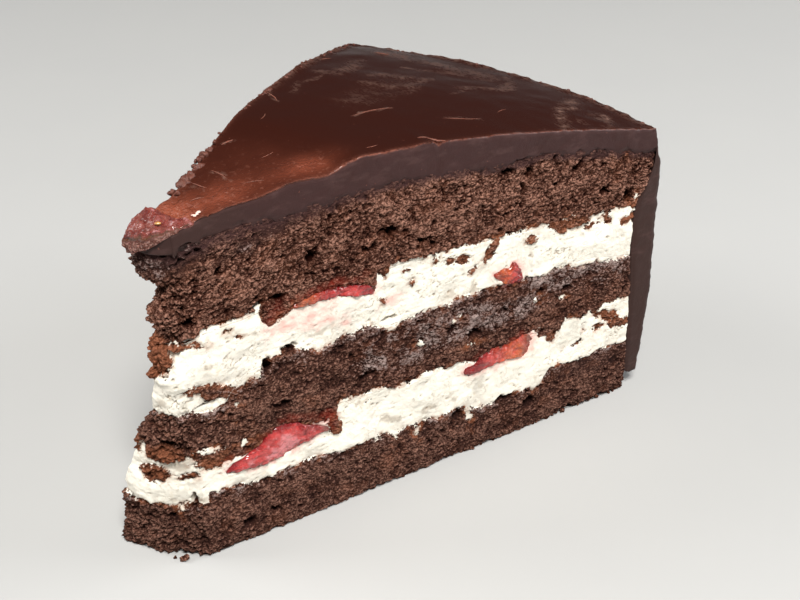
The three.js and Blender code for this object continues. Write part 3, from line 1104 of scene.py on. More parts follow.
@dataclass(frozen=True)
class Spot:
    """An uneven patch of a cut face.

    along is the distance from the axis along the cut, and up the height of its middle. On the
    blunt tip, along goes on round the corner from the front cut. length and height are half
    sizes, and tilt is in degrees from level.
    """

    along: float
    up: float
    length: float
    height: float
    tilt: float = 0.0

    def inside(self, along: Array, up: Array) -> Array:
        """How far inside the patch's edge points lie.

        Args:
            along: The points' distances along the cut.
            up: The points' heights.

        Returns:
            Distances, which are below 0 outside the patch.
        """
        turn = math.radians(self.tilt)
        right, rise = along - self.along, up - self.up
        across = (right * math.cos(turn) + rise * math.sin(turn)) / self.length
        over = (rise * math.cos(turn) - right * math.sin(turn)) / self.height
        return (1 - np.hypot(across, over)) * min(self.length, self.height)


Spots = tuple[Spot, ...]


def spots(*rows: tuple[float, ...]) -> Spots:
    """Patches from rows of their numbers, in the order of a patch's fields."""
    return tuple(Spot(*row) for row in rows)


def scattered(seed: int, count: int, bands: Sequence[Pair], size: Pair) -> Spots:
    """Patches at random places of the back cut.

    Args:
        seed: Which pattern to use.
        count: How many there are.
        bands: The heights between which they lie, from which each takes one in turn.
        size: The least and the most that they are long, as a half size.

    Returns:
        The patches.
    """
    draw = np.random.default_rng(seed)
    made = []
    for i in range(count):
        low, high = bands[i % len(bands)]
        length = draw.uniform(*size)
        along, up = draw.uniform(*BACK_REACH), draw.uniform(low, high)
        made.append(Spot(along, up, length, length * draw.uniform(0.35, 0.9), draw.uniform(-30, 30)))
    return tuple(made)


def deepest(patches: Sequence[Spot], along: Array, up: Array) -> Array:
    """How far inside the nearest of several patches points lie.

    Args:
        patches: The patches.
        along: The points' distances along the cut.
        up: The points' heights.

    Returns:
        Distances, which are below 0 outside every patch.
    """
    found = np.full(along.shape, -FAR)
    for patch in patches:
        found = np.maximum(found, patch.inside(along, up))
    return found


def depth_inside(outline: Array, places: Array) -> Array:
    """How far inside an outline places lie.

    Args:
        outline: The outline's corners.
        places: Places, with two numbers in the last axis.

    Returns:
        Distances, which are below 0 outside.
    """
    margin = 4
    nearest = np.full(places.shape[:-1], FAR)
    inside = np.zeros(places.shape[:-1], bool)
    close = (places > outline.min(0) - margin).all(-1) & (places < outline.max(0) + margin).all(-1)
    x, y = places[close, 0], places[close, 1]
    distance, within = nearest[close], inside[close]
    for (x0, y0), (x1, y1) in zip(outline, np.roll(outline, -1, 0)):
        wide, tall = x1 - x0, y1 - y0
        share = np.clip(((x - x0) * wide + (y - y0) * tall) / (wide**2 + tall**2), 0, 1)
        distance = np.minimum(distance, np.hypot(x - x0 - share * wide, y - y0 - share * tall))
        if tall != 0:
            within ^= ((y0 > y) != (y1 > y)) & (x < x0 + (y - y0) * wide / tall)
    nearest[close], inside[close] = distance, within
    return np.where(inside, nearest, -nearest)


@dataclass(frozen=True)
class CutFace:
    """What the knife left on one cut: lines between layers, and the patches that break them.

    Each line is a chain of points, as distance along the cut and height. It takes over from the
    plain joint within the lead before its first point.
    """

    lines: tuple[tuple[Pair, ...], ...] = ()
    crumbs: Spots = ()
    creams: Spots = ()
    holes: Spots = ()
    films: Spots = ()
    hazes: Spots = ()
    tans: Spots = ()
    juices: Spots = ()
    warms: Spots = ()
    pressed: Spots = ()
    lead: float = 3.0

    def height(self, index: int, along: Array, plain: Array) -> Array:
        """The height of the line between two layers.

        Args:
            index: Which joint, from 1.
            along: Distances along the cut.
            plain: The joint's height where no line is given.

        Returns:
            Heights.
        """
        line = np.array(self.lines[index - 1])
        drawn = np.interp(along, line[:, 0], line[:, 1])
        return lerp(plain, drawn, smoothstep(along, line[0, 0] - self.lead, line[0, 0]))


FRONT = CutFace(
    lines=(
        (
            (6, 13.6), (8.4, 13.6), (9, 16.5), (12, 16.2), (15, 15.3), (30, 15.2), (36, 15), (40, 14.2),
            (50, 14.2), (52.5, 13.5), (56, 14.2), (64, 13.2), (70, 13.5), (75, 11.6), (80, 11.8), (86, 12),
            (92, 10.6), (94.5, 14.9), (97, 15), (101, 14.2), (106, 14.3), (110, 15), (118, 14),
        ),
        (
            (6, 25.5), (10, 24), (16, 24.6), (24, 25.4), (28, 25.6), (33, 24), (38.2, 23.6), (38.8, 26.5),
            (39.5, 27.6), (44, 26.6), (48, 27.2), (50.5, 26.8), (52, 25.7), (55, 25.6), (58, 25.6),
            (60, 27), (66, 25.8), (72.4, 25.4), (73.6, 24.2), (76, 25), (80, 25.2), (84, 26), (87, 26.8),
            (89, 26.4), (90.2, 26.4), (91.2, 24.4), (93, 24.6), (94.5, 22.8), (97.2, 25), (98.5, 27),
            (101.5, 26.9), (103, 25.4), (105, 26.8), (106.8, 25.6), (110, 27.4), (118, 27),
        ),
        (
            (6, 37.3), (9.5, 36.6), (13.5, 36.6), (16.5, 39.6), (22, 40.3), (23, 43.2), (25, 43.6),
            (27, 44.4), (29.6, 44.4), (32.2, 42.9), (34.9, 41.4), (37.7, 42.2), (40.5, 43), (46.1, 43.6),
            (48.9, 42.8), (51.8, 40.6), (54.7, 41.3), (60, 42.4), (70, 42.6), (80, 42.4), (87, 42),
            (90, 40.8), (94, 41.6), (98, 41.2), (102.2, 39.8), (105.6, 40), (109.2, 38.9), (118, 38.6),
        ),
        (
            (6, 54), (9, 54.2), (10.5, 54.9), (20, 54.7), (22.2, 56), (23.4, 53), (24.5, 51), (30, 53.4),
            (36, 54.4), (42, 54.1), (46, 53), (48.3, 51.4), (49, 55.4), (50.5, 53.8), (52.3, 56),
            (62, 55.3), (70, 55), (78, 54.6), (86, 54), (91, 54.2), (93, 52.6), (98, 51), (102, 51.2),
            (103.5, 52.6), (107, 52.6), (108.4, 50.9), (110.5, 52.6), (112, 51.6), (113.6, 52), (115, 50.9),
            (118, 50.4),
        ),
    ),
    crumbs=spots(
        (11.5, 40.8, 5.6, 1.7, -22), (0.4, 27.3, 4.2, 2.3), (-1.8, 21.9, 3, 2.1), (4.4, 21.3, 2, 1),
        (9.8, 23.8, 3.8, 1.5, -8), (38.1, 22.4, 1.5, 3, 8), (17, 24.6, 7, 1.6, 6), (77, 52, 1.2, 3.2, -28),
        (69.6, 52, 2, 1.1, -20), (66.4, 52.7, 1, 0.6), (63, 54, 0.6, 0.9), (94.6, 52, 2.6, 1, -28),
        (99.5, 51.6, 3, 1.1, 0), (104.5, 50.1, 1.9, 0.45), (108.6, 50.2, 0.8, 1.6, 20),
        (113.6, 48.4, 1.7, 0.8, -10), (115.8, 48.7, 0.9, 1.2), (87.8, 51.2, 1.3, 0.7),
        (55.2, 53.4, 0.9, 0.45), (57.2, 50.3, 0.5, 0.6), (50.6, 48, 1.1, 0.35, -48), (16, 52.9, 0.8, 0.5),
        (18.6, 51.2, 0.8, 0.3, -10), (51.2, 54.8, 0.5, 1.2, -15), (111, 23.8, 3.6, 1.3, -24),
        (114.4, 20.6, 3.2, 1.3, -12), (108.5, 21.6, 2.4, 0.5, 6), (-0.6, 50.2, 4.8, 5.2),
        (6.6, 52.5, 3.6, 0.7, -8), (94.4, 24, 1.5, 1.4), (102.2, 18.9, 1, 0.4), (46.2, 24.9, 0.6, 0.3),
        (104, 23.2, 0.4, 0.5), (72.4, 48.6, 1, 0.4, 20),
    ),
    creams=spots(
        (72.4, 11.6, 1, 3.6, 8), (9.6, 27.1, 2.6, 0.7, -12), (17.6, 26.3, 0.6, 0.7),
        (116, 53.7, 0.6, 0.9, 10), (96.6, 53.6, 0.9, 0.4), (-4.2, 27.2, 0.9, 2.5), (3.5, 24, 2.1, 1.1),
        (58.6, 12.2, 0.5, 1.2), (52.8, 12.8, 0.4, 1.2), (22.4, 56, 0.7, 1), (89.8, 26, 0.9, 1.4, 5),
        (90.3, 35.4, 0.8, 0.6), (97.4, 33.4, 0.8, 0.6), (68.8, 37.4, 1.2, 0.4, 20), (2.8, 12.6, 0.6, 1.2),
        (16.4, 36.6, 0.25, 1), (59, 34.6, 0.8, 0.5), (72.6, 29.6, 0.9, 0.3),
    ),
    holes=spots(
        (17.3, 5, 1, 0.9), (23, 6, 1.2, 0.7, 30), (2.4, 30.4, 1.5, 0.8), (26.4, 31.6, 1.4, 0.7),
        (46, 31, 1.6, 0.45, 12), (34.5, 63.3, 1.1, 0.9), (52, 64, 1.7, 0.9), (47.6, 61.4, 1.2, 0.7),
        (15, 66.3, 0.8, 0.6), (8.6, 57.6, 1, 0.8), (22.6, 57, 0.8, 0.5), (27, 57, 0.8, 0.5),
        (67.2, 35, 1.4, 0.9), (73, 32.2, 1.7, 1, -20), (80.8, 35.6, 0.9, 0.4), (98.4, 35.4, 1.1, 0.4),
        (89.2, 7.8, 1.7, 1.3), (69, 12.2, 1.2, 1.4, -20), (81.8, 11.4, 1, 0.4), (80.2, 69, 1.2, 0.6),
        (92.6, 69.6, 0.9, 0.3, 50), (99.4, 66.2, 2.6, 0.7, 42), (84, 64, 0.5, 1), (86, 67.7, 0.7, 0.4),
        (92.6, 63, 0.8, 0.5, -30), (113.7, 54.5, 1, 1.3), (23.6, 42.2, 0.6, 1), (29, 44.4, 1, 0.5),
        (52.6, 43.2, 1, 0.4), (8, 60.6, 0.6, 0.4), (90.6, 37, 0.7, 0.5), (5.5, 15.8, 0.35, 1.5, 8),
        (9, 70.8, 1.4, 0.35, 20), (3.6, 73.4, 1.4, 0.5, -14), (107, 57.6, 1, 0.7), (60.4, 59.4, 1.2, 0.6),
    ),
    films=spots(
        (68, 36, 17, 5.4, -4), (54, 35.4, 13, 6.4, 4), (103, 37, 17, 3.6, -8), (92, 38.6, 7, 3, -12),
        (84, 35, 9, 4), (20, 39.8, 6, 2, 8), (60, 13, 7, 1.4),
    ),
    hazes=spots(
        (106, 39.8, 13, 2.2, -6), (91, 40.4, 4.6, 2, -14), (54, 41.4, 6, 1.2), (19.5, 40.6, 3.6, 0.9, 12),
        (38, 42.4, 7, 0.9),
    ),
    tans=spots(
        (4.8, 26, 0.5, 1.2, 10), (1.9, 15, 0.8, 0.5), (-2.2, 11.4, 0.8, 0.5), (37, 46, 4, 0.8, 8),
        (51.4, 17.4, 5, 1.3, -34), (67, 44.4, 0.9, 1.2), (72.4, 44.2, 1, 1.4, 15), (21.4, 50.6, 1.2, 0.8),
        (87.6, 46.6, 0.6, 1.6, 10), (3.8, 25.6, 1.8, 1.8), (67.4, 17.6, 2.8, 1, -34), (44, 24.8, 0.8, 0.5),
        (1.7, 40.5, 1, 1.2), (10.1, 38.4, 2.2, 0.6), (3.4, 23.8, 2.6, 1.6), (7, 14.8, 2, 1),
        (82, 16, 1.8, 0.8), (61.6, 16.6, 2, 0.7), (12, 46.6, 1, 0.4),
    ),
    juices=spots(
        (32, 50.6, 9, 2.8, 8), (38, 55.8, 11, 1.2), (25.8, 52.8, 4, 2.4, 35), (52, 47.4, 4, 1.6),
        (38, 48, 7, 1.6), (36, 23.8, 3.6, 2.8), (31, 26.8, 6, 1.3, -20), (16, 23.4, 5, 1.4),
        (79, 21.4, 9, 1.2), (73, 26.2, 3, 1), (41, 46.2, 3, 1.2),
    ),
    warms=spots(
        (1, 50.4, 4.4, 5.6), (7, 52.5, 4, 1.2, -8), (26.6, 52.2, 5, 1, 32), (0.4, 27.4, 4.2, 2.4),
        (-1.8, 22, 3, 2.1), (9, 23.6, 5, 2), (114, 47.5, 3.6, 6), (27, 51.6, 3, 1, 35),
        (112, 24, 5, 1.6, -18), (3, 17, 4, 3), (8, 22.4, 7, 1.6), (110, 70, 7, 3, -40),
    ),
    pressed=spots((107, 11.8, 12, 3, -6), (5, 70.6, 9, 4, 12), (60, 12.6, 8, 1.2), (22, 70, 9, 1.6, 14)),
)

BACK = CutFace(
    crumbs=scattered(11, 12, ((24, 27), (50, 54), (14, 18)), (0.9, 3.2))
    + scattered(12, 22, ((15, 25), (43, 53)), (0.4, 1.1)),
    creams=scattered(13, 14, ((9, 13), (27, 30), (38, 41), (56, 58)), (0.5, 1.6)),
    holes=scattered(14, 26, ((3, 11), (29, 38), (57, 71), (59, 72)), (0.6, 1.6)),
    films=scattered(15, 6, ((36, 40), (10, 12)), (5, 12)),
    hazes=scattered(17, 4, ((40, 41), (11.5, 12.5)), (3, 8)),
    tans=scattered(16, 8, ((16, 24), (44, 52)), (0.8, 2.6)),
    juices=spots((58, 24.6, 12, 2.2), (34, 50.6, 9, 2), (88, 45.4, 7, 2.2), (60, 19.6, 8, 1.4)),
)


@dataclass(frozen=True)
class Crumbling:
    """Relief and colour fields of the slice's cut faces and tip."""

    wedge: Wedge
    grain: float = 0.33
    grain_size: float = 0.8
    grain_shape: Triple = (0.85, 0.85, 1.2)
    clump: float = 0.3
    pit_depth: float = 0.9
    crevice_depth: float = 0.5
    hole_depth: float = 1.9
    groove: float = 0.22
    bed: float = 0.4
    tuck: float = 0.12
    clumps: Wave = Wave(3.6, 3, 26)
    crevices: Wave = Wave(2.4, 4, 28, shape=(0.45, 0.45, 1.0))
    folds: Wave = Wave(4.0, 4, 31, shape=(0.75, 0.75, 1.0))
    torn: Wave = Wave(1.5, 3, 33, shape=(0.75, 0.75, 1.0))
    cracks: Wave = Wave(3.8, 4, 35, shape=(0.75, 0.75, 1.0))
    swell: Wave = Wave(7.5, 2, 39)
    jags: Wave = Wave(2.2, 4, 41, 0.46)
    fine: Wave = Wave(0.9, 3, 45, 0.4)
    patches: Wave = Wave(2.6, 4, 51)
    fringes: Wave = Wave(1.7, 3, 53)
    sideways: Wave = Wave(2.2, 3, 55)
    upwards: Wave = Wave(2.2, 3, 57)

    @staticmethod
    def pits(points: Array, size: float, share: float, seed: int) -> Array:
        """Round hollows, 1 in the middle, at a share of the places that lie a size apart."""
        away, number = Noise.cells(points, size, seed)
        return np.clip(1 - away / 0.4, 0, 1) * (number < share)

    def sponge(self, points: Array) -> tuple[Array, Array]:
        """The sponge's own relief.

        Args:
            points: Points of the plain face.

        Returns:
            How far each stands out in millimetres, and its tone from 0, a pit, to 1, a grain's top.
        """
        warp = np.stack([Noise.value(points, 1.1, seed) for seed in (21, 22, 23)], -1)
        flat = (points + 0.4 * warp) * np.array(self.grain_shape)
        coarse, number = Noise.cells(flat, self.grain_size, 24)
        fine, _ = Noise.cells(flat, self.grain_size * 0.6, 25)
        lumps = 1 - (coarse / 0.7) ** 2 + 0.9 * (number - 0.5)
        specks = 1 - (fine / 0.7) ** 2
        clumps = self.clumps.at(points)
        relief = self.grain * lumps + 0.6 * self.grain * specks + self.clump * clumps
        pits = self.pits(flat + 7.0, 2.1, 0.12, 27)
        crevices = self.crevices.threads(points, 0.11)
        crevices *= smoothstep(Noise.value(points, 5.0, 29), -0.1, 0.4)
        relief -= self.pit_depth * pits**0.6 + self.crevice_depth * crevices
        # Painted shade and light: the tone is low in pits and crevices and high on grains, and the crumb
        # colour darkens and lightens by it.
        tone = 0.5 + 0.38 * lumps + 0.2 * specks + 0.22 * clumps - 1.2 * pits - 0.5 * crevices
        return relief - 0.1, np.clip(tone, 0, 1)

    def cream(self, points: Array) -> tuple[Array, Array, Array]:
        """The cream's own relief.

        Args:
            points: Points of the plain face.

        Returns:
            How far each stands out in millimetres, its tone from 0 to 1, and how much it is cracked.
        """
        folds, swell = self.folds.at(points), self.swell.at(points)
        torn = 1 - np.abs(self.torn.at(points)) * 2.4
        crack = self.cracks.threads(points, 0.035)
        crack *= smoothstep(Noise.value(points, 6.0, 36), 0.05, 0.4)
        pits = self.pits(points, 1.1, 0.1, 37)
        relief = 0.42 * swell + 0.19 * folds + 0.02 * torn - 0.25 * crack - 0.45 * pits
        # Painted shade: the tone falls in the folds' dips and in the pits, and the pits also take the crack
        # colour.
        tone = np.clip(0.74 + 0.4 * folds + 0.1 * torn - 0.5 * pits, 0, 1)
        return relief - 0.05, tone, np.clip(0.8 * crack + 0.7 * pits, 0, 1)

    def borders(self, u: Array, v: Array, along: Array) -> list[Array]:
        """The heights of the four borders between sponge and cream.

        Args:
            u: Places from tip to rim.
            v: Places from the front cut to the back.
            along: Distances along the front cut.

        Returns:
            The heights of each border, from the base up.
        """
        plain = [self.wedge.joint(index, u, v) for index in BORDERS]
        drawn = [FRONT.height(index, along, line) for index, line in zip(BORDERS, plain)]
        return [np.where(v > 0, line, sharp) for line, sharp in zip(plain, drawn)]

    def fields(self, u: Array, v: Array, points: Array) -> tuple[Array, Field]:
        """Relief and colour fields of the body's upright faces.

        Args:
            u: Places from tip to rim.
            v: Places from the front cut to the back.
            points: Points of the plain face.

        Returns:
            How far each point stands out in millimetres, and the fields that colour it.
        """
        along, behind, z = self.unrolled(u, v, points)
        reach = self.reaches(points, along, behind, z)
        first, second, third, fourth = self.borders(u, v, along)
        jags, fine = self.jags.at(points), self.fine.at(points)
        patchy = smoothstep(self.patches.at(points), -0.5, 0.5)

        # Where cream shows, as a depth inside its border.
        depth = np.maximum(np.minimum(z - first, second - z), np.minimum(z - third, fourth - z))
        depth = depth + (jags * np.where(v > 0, 2.2, 1.0) + fine)
        depth = np.minimum(depth, -(reach["crumbs"] + 1.1 * fine + 0.4 * jags))
        depth = np.maximum(depth, reach["creams"] + 1.1 * fine + 0.4 * jags)
        white = smoothstep(depth, -0.14, 0.14)

        # Relief: each filling's own, flatter where the knife pressed it, and what breaks it.
        pressed = smoothstep(reach["pressed"] + jags, -0.8, 1.4)
        below_coat = self.wedge.coat_foot(u, v) - z + 1.2 * jags + 0.8 * fine
        coated = 1 - smoothstep(below_coat, 0.1, lerp(3.8, 1.5, smoothstep(along, 25, 62)))
        crumb_relief, crumb_tone = self.sponge(points)
        crumb_relief = crumb_relief * (1 - 0.4 * np.maximum(pressed, coated))
        crumb_relief -= self.tuck * (1 - smoothstep(below_coat, -0.3, 0.2))
        cream_relief, cream_tone, crack = self.cream(points)
        holes = np.clip(reach["holes"] / 0.7 + 0.5 + fine * 1.6, 0, 1)
        fruit = self.fruit_depth(along, behind, z)
        relief = lerp(crumb_relief, cream_relief, white)
        relief -= self.groove * bump(depth, -0.1, 0.3) + self.hole_depth * holes
        relief -= self.bed * smoothstep(fruit, -0.15, 0.5)

        # Cream dragged down over the crumb, and the cream's shade at its own foot.
        above = np.where(z > third - 4, z - third, z - first) + jags
        cream_tone = cream_tone - 0.4 * fade(above, 0.8)
        below = np.maximum(first - z, np.where(z > second, third - z, -FAR))
        film = np.maximum(fade(below, 1.6) * (below > 0), 0.75 * smoothstep(reach["films"], -1.6, 2.6))
        film = film * (0.45 + 0.65 * patchy)
        film = np.maximum(film, 0.95 * smoothstep(reach["hazes"] + 1.5 * jags, -2.8, 2.2))
        # Painted highlights: the pressed crumb under the coat gets the veil on its grain tops.
        film = np.maximum(film, 0.5 * pressed * patchy * (z > 60))

        # Juice round the fruit, tan spots in the cream, and the warm fringe of crumb.
        juicy = smoothstep(reach["juices"] + 1.2 * jags, -0.4, 1.6) * (0.42 + 0.45 * patchy)
        tan = smoothstep(reach["tans"] + fine + jags, -0.3, 0.7) * 0.45
        fringe = 0.9 * bump(depth, -0.1, 0.7) * smoothstep(self.fringes.at(points), -0.1, 0.5)
        bits = smoothstep(reach["crumbs"], -0.4, 0.1) * (1 - smoothstep(reach["crumbs"], 0.5, 1.3))
        warm = np.maximum(0.5 * bits, 0.75 * smoothstep(reach["warms"] + jags, -0.6, 1.2))
        # Darker lower down: painted shade on the lower sponges, which lie further from the light, along
        # with their darker crumb; it goes in with the pressed crumb.
        shade = lerp(0.62, 0.5, smoothstep(z, 17.0, 24.0)) * (1 - smoothstep(z, 41.0, 46.0))
        return relief, {
            "cream": smoothstep(depth, -0.45, 0.45),
            # Painted shade: the holes are pushed to the darkest tone.
            "height": lerp(crumb_tone, cream_tone, white) * (1 - holes) - 0.5 * holes,
            "pressed": np.maximum(pressed, shade),
            "coated": coated,
            "film": np.clip(film, 0, 1),
            "stain": np.maximum(juicy, 0.85 * bump(fruit, 0.0, 1.1) * patchy),
            "crack": np.clip(crack + tan, 0, 1),
            "fringe": np.maximum(fringe, warm * (1 - white)),
        }

    def fruit_depth(self, along: Array, behind: Array, z: Array) -> Array:
        """How far inside the outline of a piece of fruit points lie.

        Args:
            along: Distances along the front cut.
            behind: Distances along the back cut.
            z: Heights.

        Returns:
            Distances, which are below 0 outside every piece.
        """
        found = np.full(z.shape, -FAR)
        for piece in FRUIT:
            place = np.stack([behind if piece.back else along, z], -1)
            found = np.maximum(found, depth_inside(np.array(piece.outline), place))
        return found

    def reaches(self, points: Array, along: Array, behind: Array, z: Array) -> Field:
        """How far inside each kind of patch points lie.

        Args:
            points: Points of the plain face.
            along: Distances along the front cut.
            behind: Distances along the back cut.
            z: Heights.

        Returns:
            The distances for each kind.
        """
        sideways, upwards = self.sideways.at(points), self.upwards.at(points)
        found = {}
        for name in ("crumbs", "creams", "holes", "films", "hazes", "tans", "juices", "warms", "pressed"):
            front = deepest(getattr(FRONT, name), along + 0.35 * sideways, z + 0.35 * upwards)
            back = deepest(getattr(BACK, name), behind + 0.9 * sideways, z + 0.9 * upwards)
            found[name] = np.where(behind > 0, back, front)
        return found

    def unrolled(self, u: Array, v: Array, points: Array) -> tuple[Array, Array, Array]:
        """Distances along the cuts.

        Args:
            u: Places from tip to rim.
            v: Places from the front cut to the back.
            points: Points of the plain face.

        Returns:
            The distance along the front cut, which goes on round the tip, the distance along the
            back cut, which is below 0 off it, and the height.
        """
        z = points[..., 2]
        corner = self.wedge.by_height(self.wedge.tip_front_x, z)
        round_tip = corner - np.hypot(points[..., 0] - corner, points[..., 1])
        away = np.hypot(points[..., 0], points[..., 1])
        along = np.where(u < 0.001, round_tip, NOWHERE)
        along = np.where(v > 0, along, points[..., 0])
        return along, np.where((v >= 1) & (u > 0), away, -NOWHERE), z


# ---- Sub-assemblies ----


class Filling(Enum):
    """What a layer is made of."""

    SPONGE = "sponge"
    CREAM = "cream"


def adopt(piece: Piece, slot: str, *nodes: str) -> Piece:
    """Says what a piece rides on and stands for.

    Args:
        piece: The piece.
        slot: Not used.
        nodes: The nodes that it replaces.

    Returns:
        The piece.
    """
    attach(piece, BODY)
    if nodes:
        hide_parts(*nodes)
    LOG.info("%s: %d faces", piece.name, len(piece.data.polygons))
    return piece


@dataclass
class Layers:
    """The sponges and creams, from the base up.

    The lengths are of the front cut, the rim, the back cut and the tip. A notch in the bottom edge
    is given by its place, height and width, and a crag of the tip by its height, width and depth.
    """

    wedge: Wedge
    lengths: tuple[float, float, float, float] = (112, 88, 116, 15)
    spacing: float = 0.25
    back_spacing: float = 0.3
    rim_spacing: float = 1.6
    bottom_rim_spacing: float = 0.5
    overlap: float = 1.0
    under_coat: float = 7.0
    shift: float = 0.12
    notches: tuple[Triple, ...] = (
        (1.4, 1.4, 0.9), (6.9, 1.5, 0.8), (9.8, 1.1, 0.6), (13, 0.6, 0.8), (94, 0.9, 1.2), (106, 1.1, 1),
        (101, 1.5, 2.2), (111.5, 1.5, 2.6), (4, 0.8, 2.4), (79, 0.6, 2.4), (60, 0.4, 9), (49, 0.4, 5),
        (17, 0.5, 2),
    )
    crags: tuple[Triple, ...] = (
        (7.5, 3.6, -0.9), (18.5, 3, 0.7), (35.4, 2, -1.5), (45.8, 0.9, 0.9), (55.8, 1.5, -1.3),
        (60.2, 1.3, 0.9),
    )
    ledge: Triple = (59.6, 66.2, -4.2)
    crumbly: Wave = Wave(2.2, 3, 61, 1.3)
    waver: Wave = Wave(3.0, 3, 73, 0.7)
    side_boxes: tuple[Box, ...] = (
        Box(0, 0.02, 0.98, 0.16), Box(0, 0.58, 0.98, 0.7), Box(0, 0.2, 0.98, 0.34), Box(0, 0.38, 0.98, 0.5),
    )
    cap_boxes: tuple[Box, Box] = (Box(0, 0.74, 0.45, 0.99), Box(0.5, 0.74, 0.95, 0.99))
    cap_points: tuple[int, int] = (14, 6)

    def ring(self, bottom: bool) -> Ring:
        """The walk round a layer.

        Args:
            bottom: Whether it is the bottom layer, whose rim shows under the coat.

        Returns:
            The walk.
        """
        rim = self.bottom_rim_spacing if bottom else self.rim_spacing
        steps = self.spacing, rim, self.back_spacing, self.spacing
        return Ring(tuple(round(length / step) for length, step in zip(self.lengths, steps)))

    def foot(self, along: Array, behind: Array) -> Array:
        """The height of the crumbly bottom edge.

        Args:
            along: Distances along the front cut.
            behind: Distances along the back cut.

        Returns:
            Heights.
        """
        place = np.where(behind > 0, 120 - behind, along)
        lift = sum(high * bump(place, at, wide) for at, high, wide in self.notches)
        return lift + 0.3 * (0.6 + self.crumbly.at(np.stack([place, 0 * place, behind], -1)))

    def crag(self, z: Array) -> Array:
        """How far the tip's crags stand out.

        Args:
            z: Heights.

        Returns:
            Distances.
        """
        low, high, out = self.ledge
        step = out * np.clip((z - low) / (high - low), 0, 1) * (1 - smoothstep(z, high, high + 0.5))
        return step + sum(out * bump(z, at, wide) for at, wide, out in self.crags)

    def build(self, index: int, name: str, filling: Filling, finish: Material) -> Piece:
        """Builds one layer.

        Args:
            index: Its number from the base up.
            name: Its node.
            filling: What it is made of.
            finish: Its material.

        Returns:
            The layer.
        """
        wedge = self.wedge
        ring = self.ring(bottom=index == 0)
        crumbling = Crumbling(wedge)
        u, v = ring.u[:, None], ring.v[:, None]
        low, high = wedge.joint(index, u, v), wedge.joint(index + 1, u, v)
        if index == len(BORDERS):
            high = high + self.overlap
        if index == 0:
            along, behind, _ = crumbling.unrolled(u, v, wedge.body(u, v, low))
            low = low + np.clip(self.foot(along, behind), 0, None)
        rows = round(float(np.max(high - low)) / self.spacing) + 1
        z = lerp(low, high, np.linspace(0, 1, rows)[None, :])
        u, v = np.broadcast_to(u, z.shape), np.broadcast_to(v, z.shape)
        plain = wedge.body(u, v, z)
        relief, fields = crumbling.fields(u, v, plain)
        surface = Surface()
        numbers = surface.add_points(self.displaced(plain, relief, ring), fields)
        ring.strips(surface, numbers, self.side_boxes)
        cap = Coarse(ring, self.cap_points)
        for row, joint, box in zip((0, -1), (index, index + 1), self.cap_boxes):
            inner = wedge.body(cap.u, cap.v, wedge.joint(joint, cap.u, cap.v))
            blank = {key: np.zeros(len(inner)) for key in fields}
            cap.add(surface, numbers[:, row], surface.add_points(inner, blank), box, flip=row == 0)
        return adopt(surface.build(name + "_dressed", wedge, finish), filling.value, name)

    def displaced(self, plain: Array, relief: Array, ring: Ring) -> Array:
        """Moves the points of a ribbon out of their plain face.

        Args:
            plain: The plain points, by column and row.
            relief: How far each stands out.
            ring: The walk that the columns follow.

        Returns:
            The moved points.
        """
        u, v = ring.u[:, None], ring.v[:, None]
        for _ in range(3):
            plain = np.concatenate([softened(plain)[..., :2], plain[..., 2:]], -1)
        z = plain[..., 2]
        ahead = np.roll(plain, -3, 0) - np.roll(plain, 3, 0)
        outwards = np.stack([ahead[..., 1], -ahead[..., 0]], -1)
        outwards /= np.linalg.norm(outwards, axis=-1, keepdims=True)
        hidden = (u >= 1) & (v > 0) & (v < 1) & (z > self.under_coat)
        relief = np.where(hidden, 0.0, relief) * (1 + 0.9 * bump(u, 0, 0.05) * (v > 0))
        relief = relief + self.crag(z + self.waver.at(plain)) * (v * bump(u, 0, 0.035))
        inwards = 0.6 * np.exp(-z / 0.7)
        moved = plain.copy()
        moved[..., :2] += outwards * (relief - inwards)[..., None]
        moved[..., 0] += self.shift * Noise.value(plain, 0.8, 71) * np.abs(outwards[..., 1])
        return moved


@dataclass(frozen=True)
class Smudge:
    """A stroke of dust or a scratch on the coat's top, in plan."""

    path: tuple[Pair, ...]
    width: float
    strength: float

    def at(self, points: Array) -> Array:
        """How strong the stroke is.

        Args:
            points: Points, with x and y first in the last axis.

        Returns:
            Numbers from 0 to the stroke's strength.
        """
        flat = points[..., :2]
        nearest = np.full(flat.shape[:-1], 99.0)
        path = np.array(self.path, float)
        for start, end in zip(path[:-1], path[1:]):
            chord = end - start
            share = ((flat - start) @ chord) / (chord @ chord)
            foot = start + np.clip(share, 0, 1)[..., None] * chord
            nearest = np.minimum(nearest, np.linalg.norm(flat - foot, axis=-1))
        return self.strength * bump(nearest, 0, self.width)


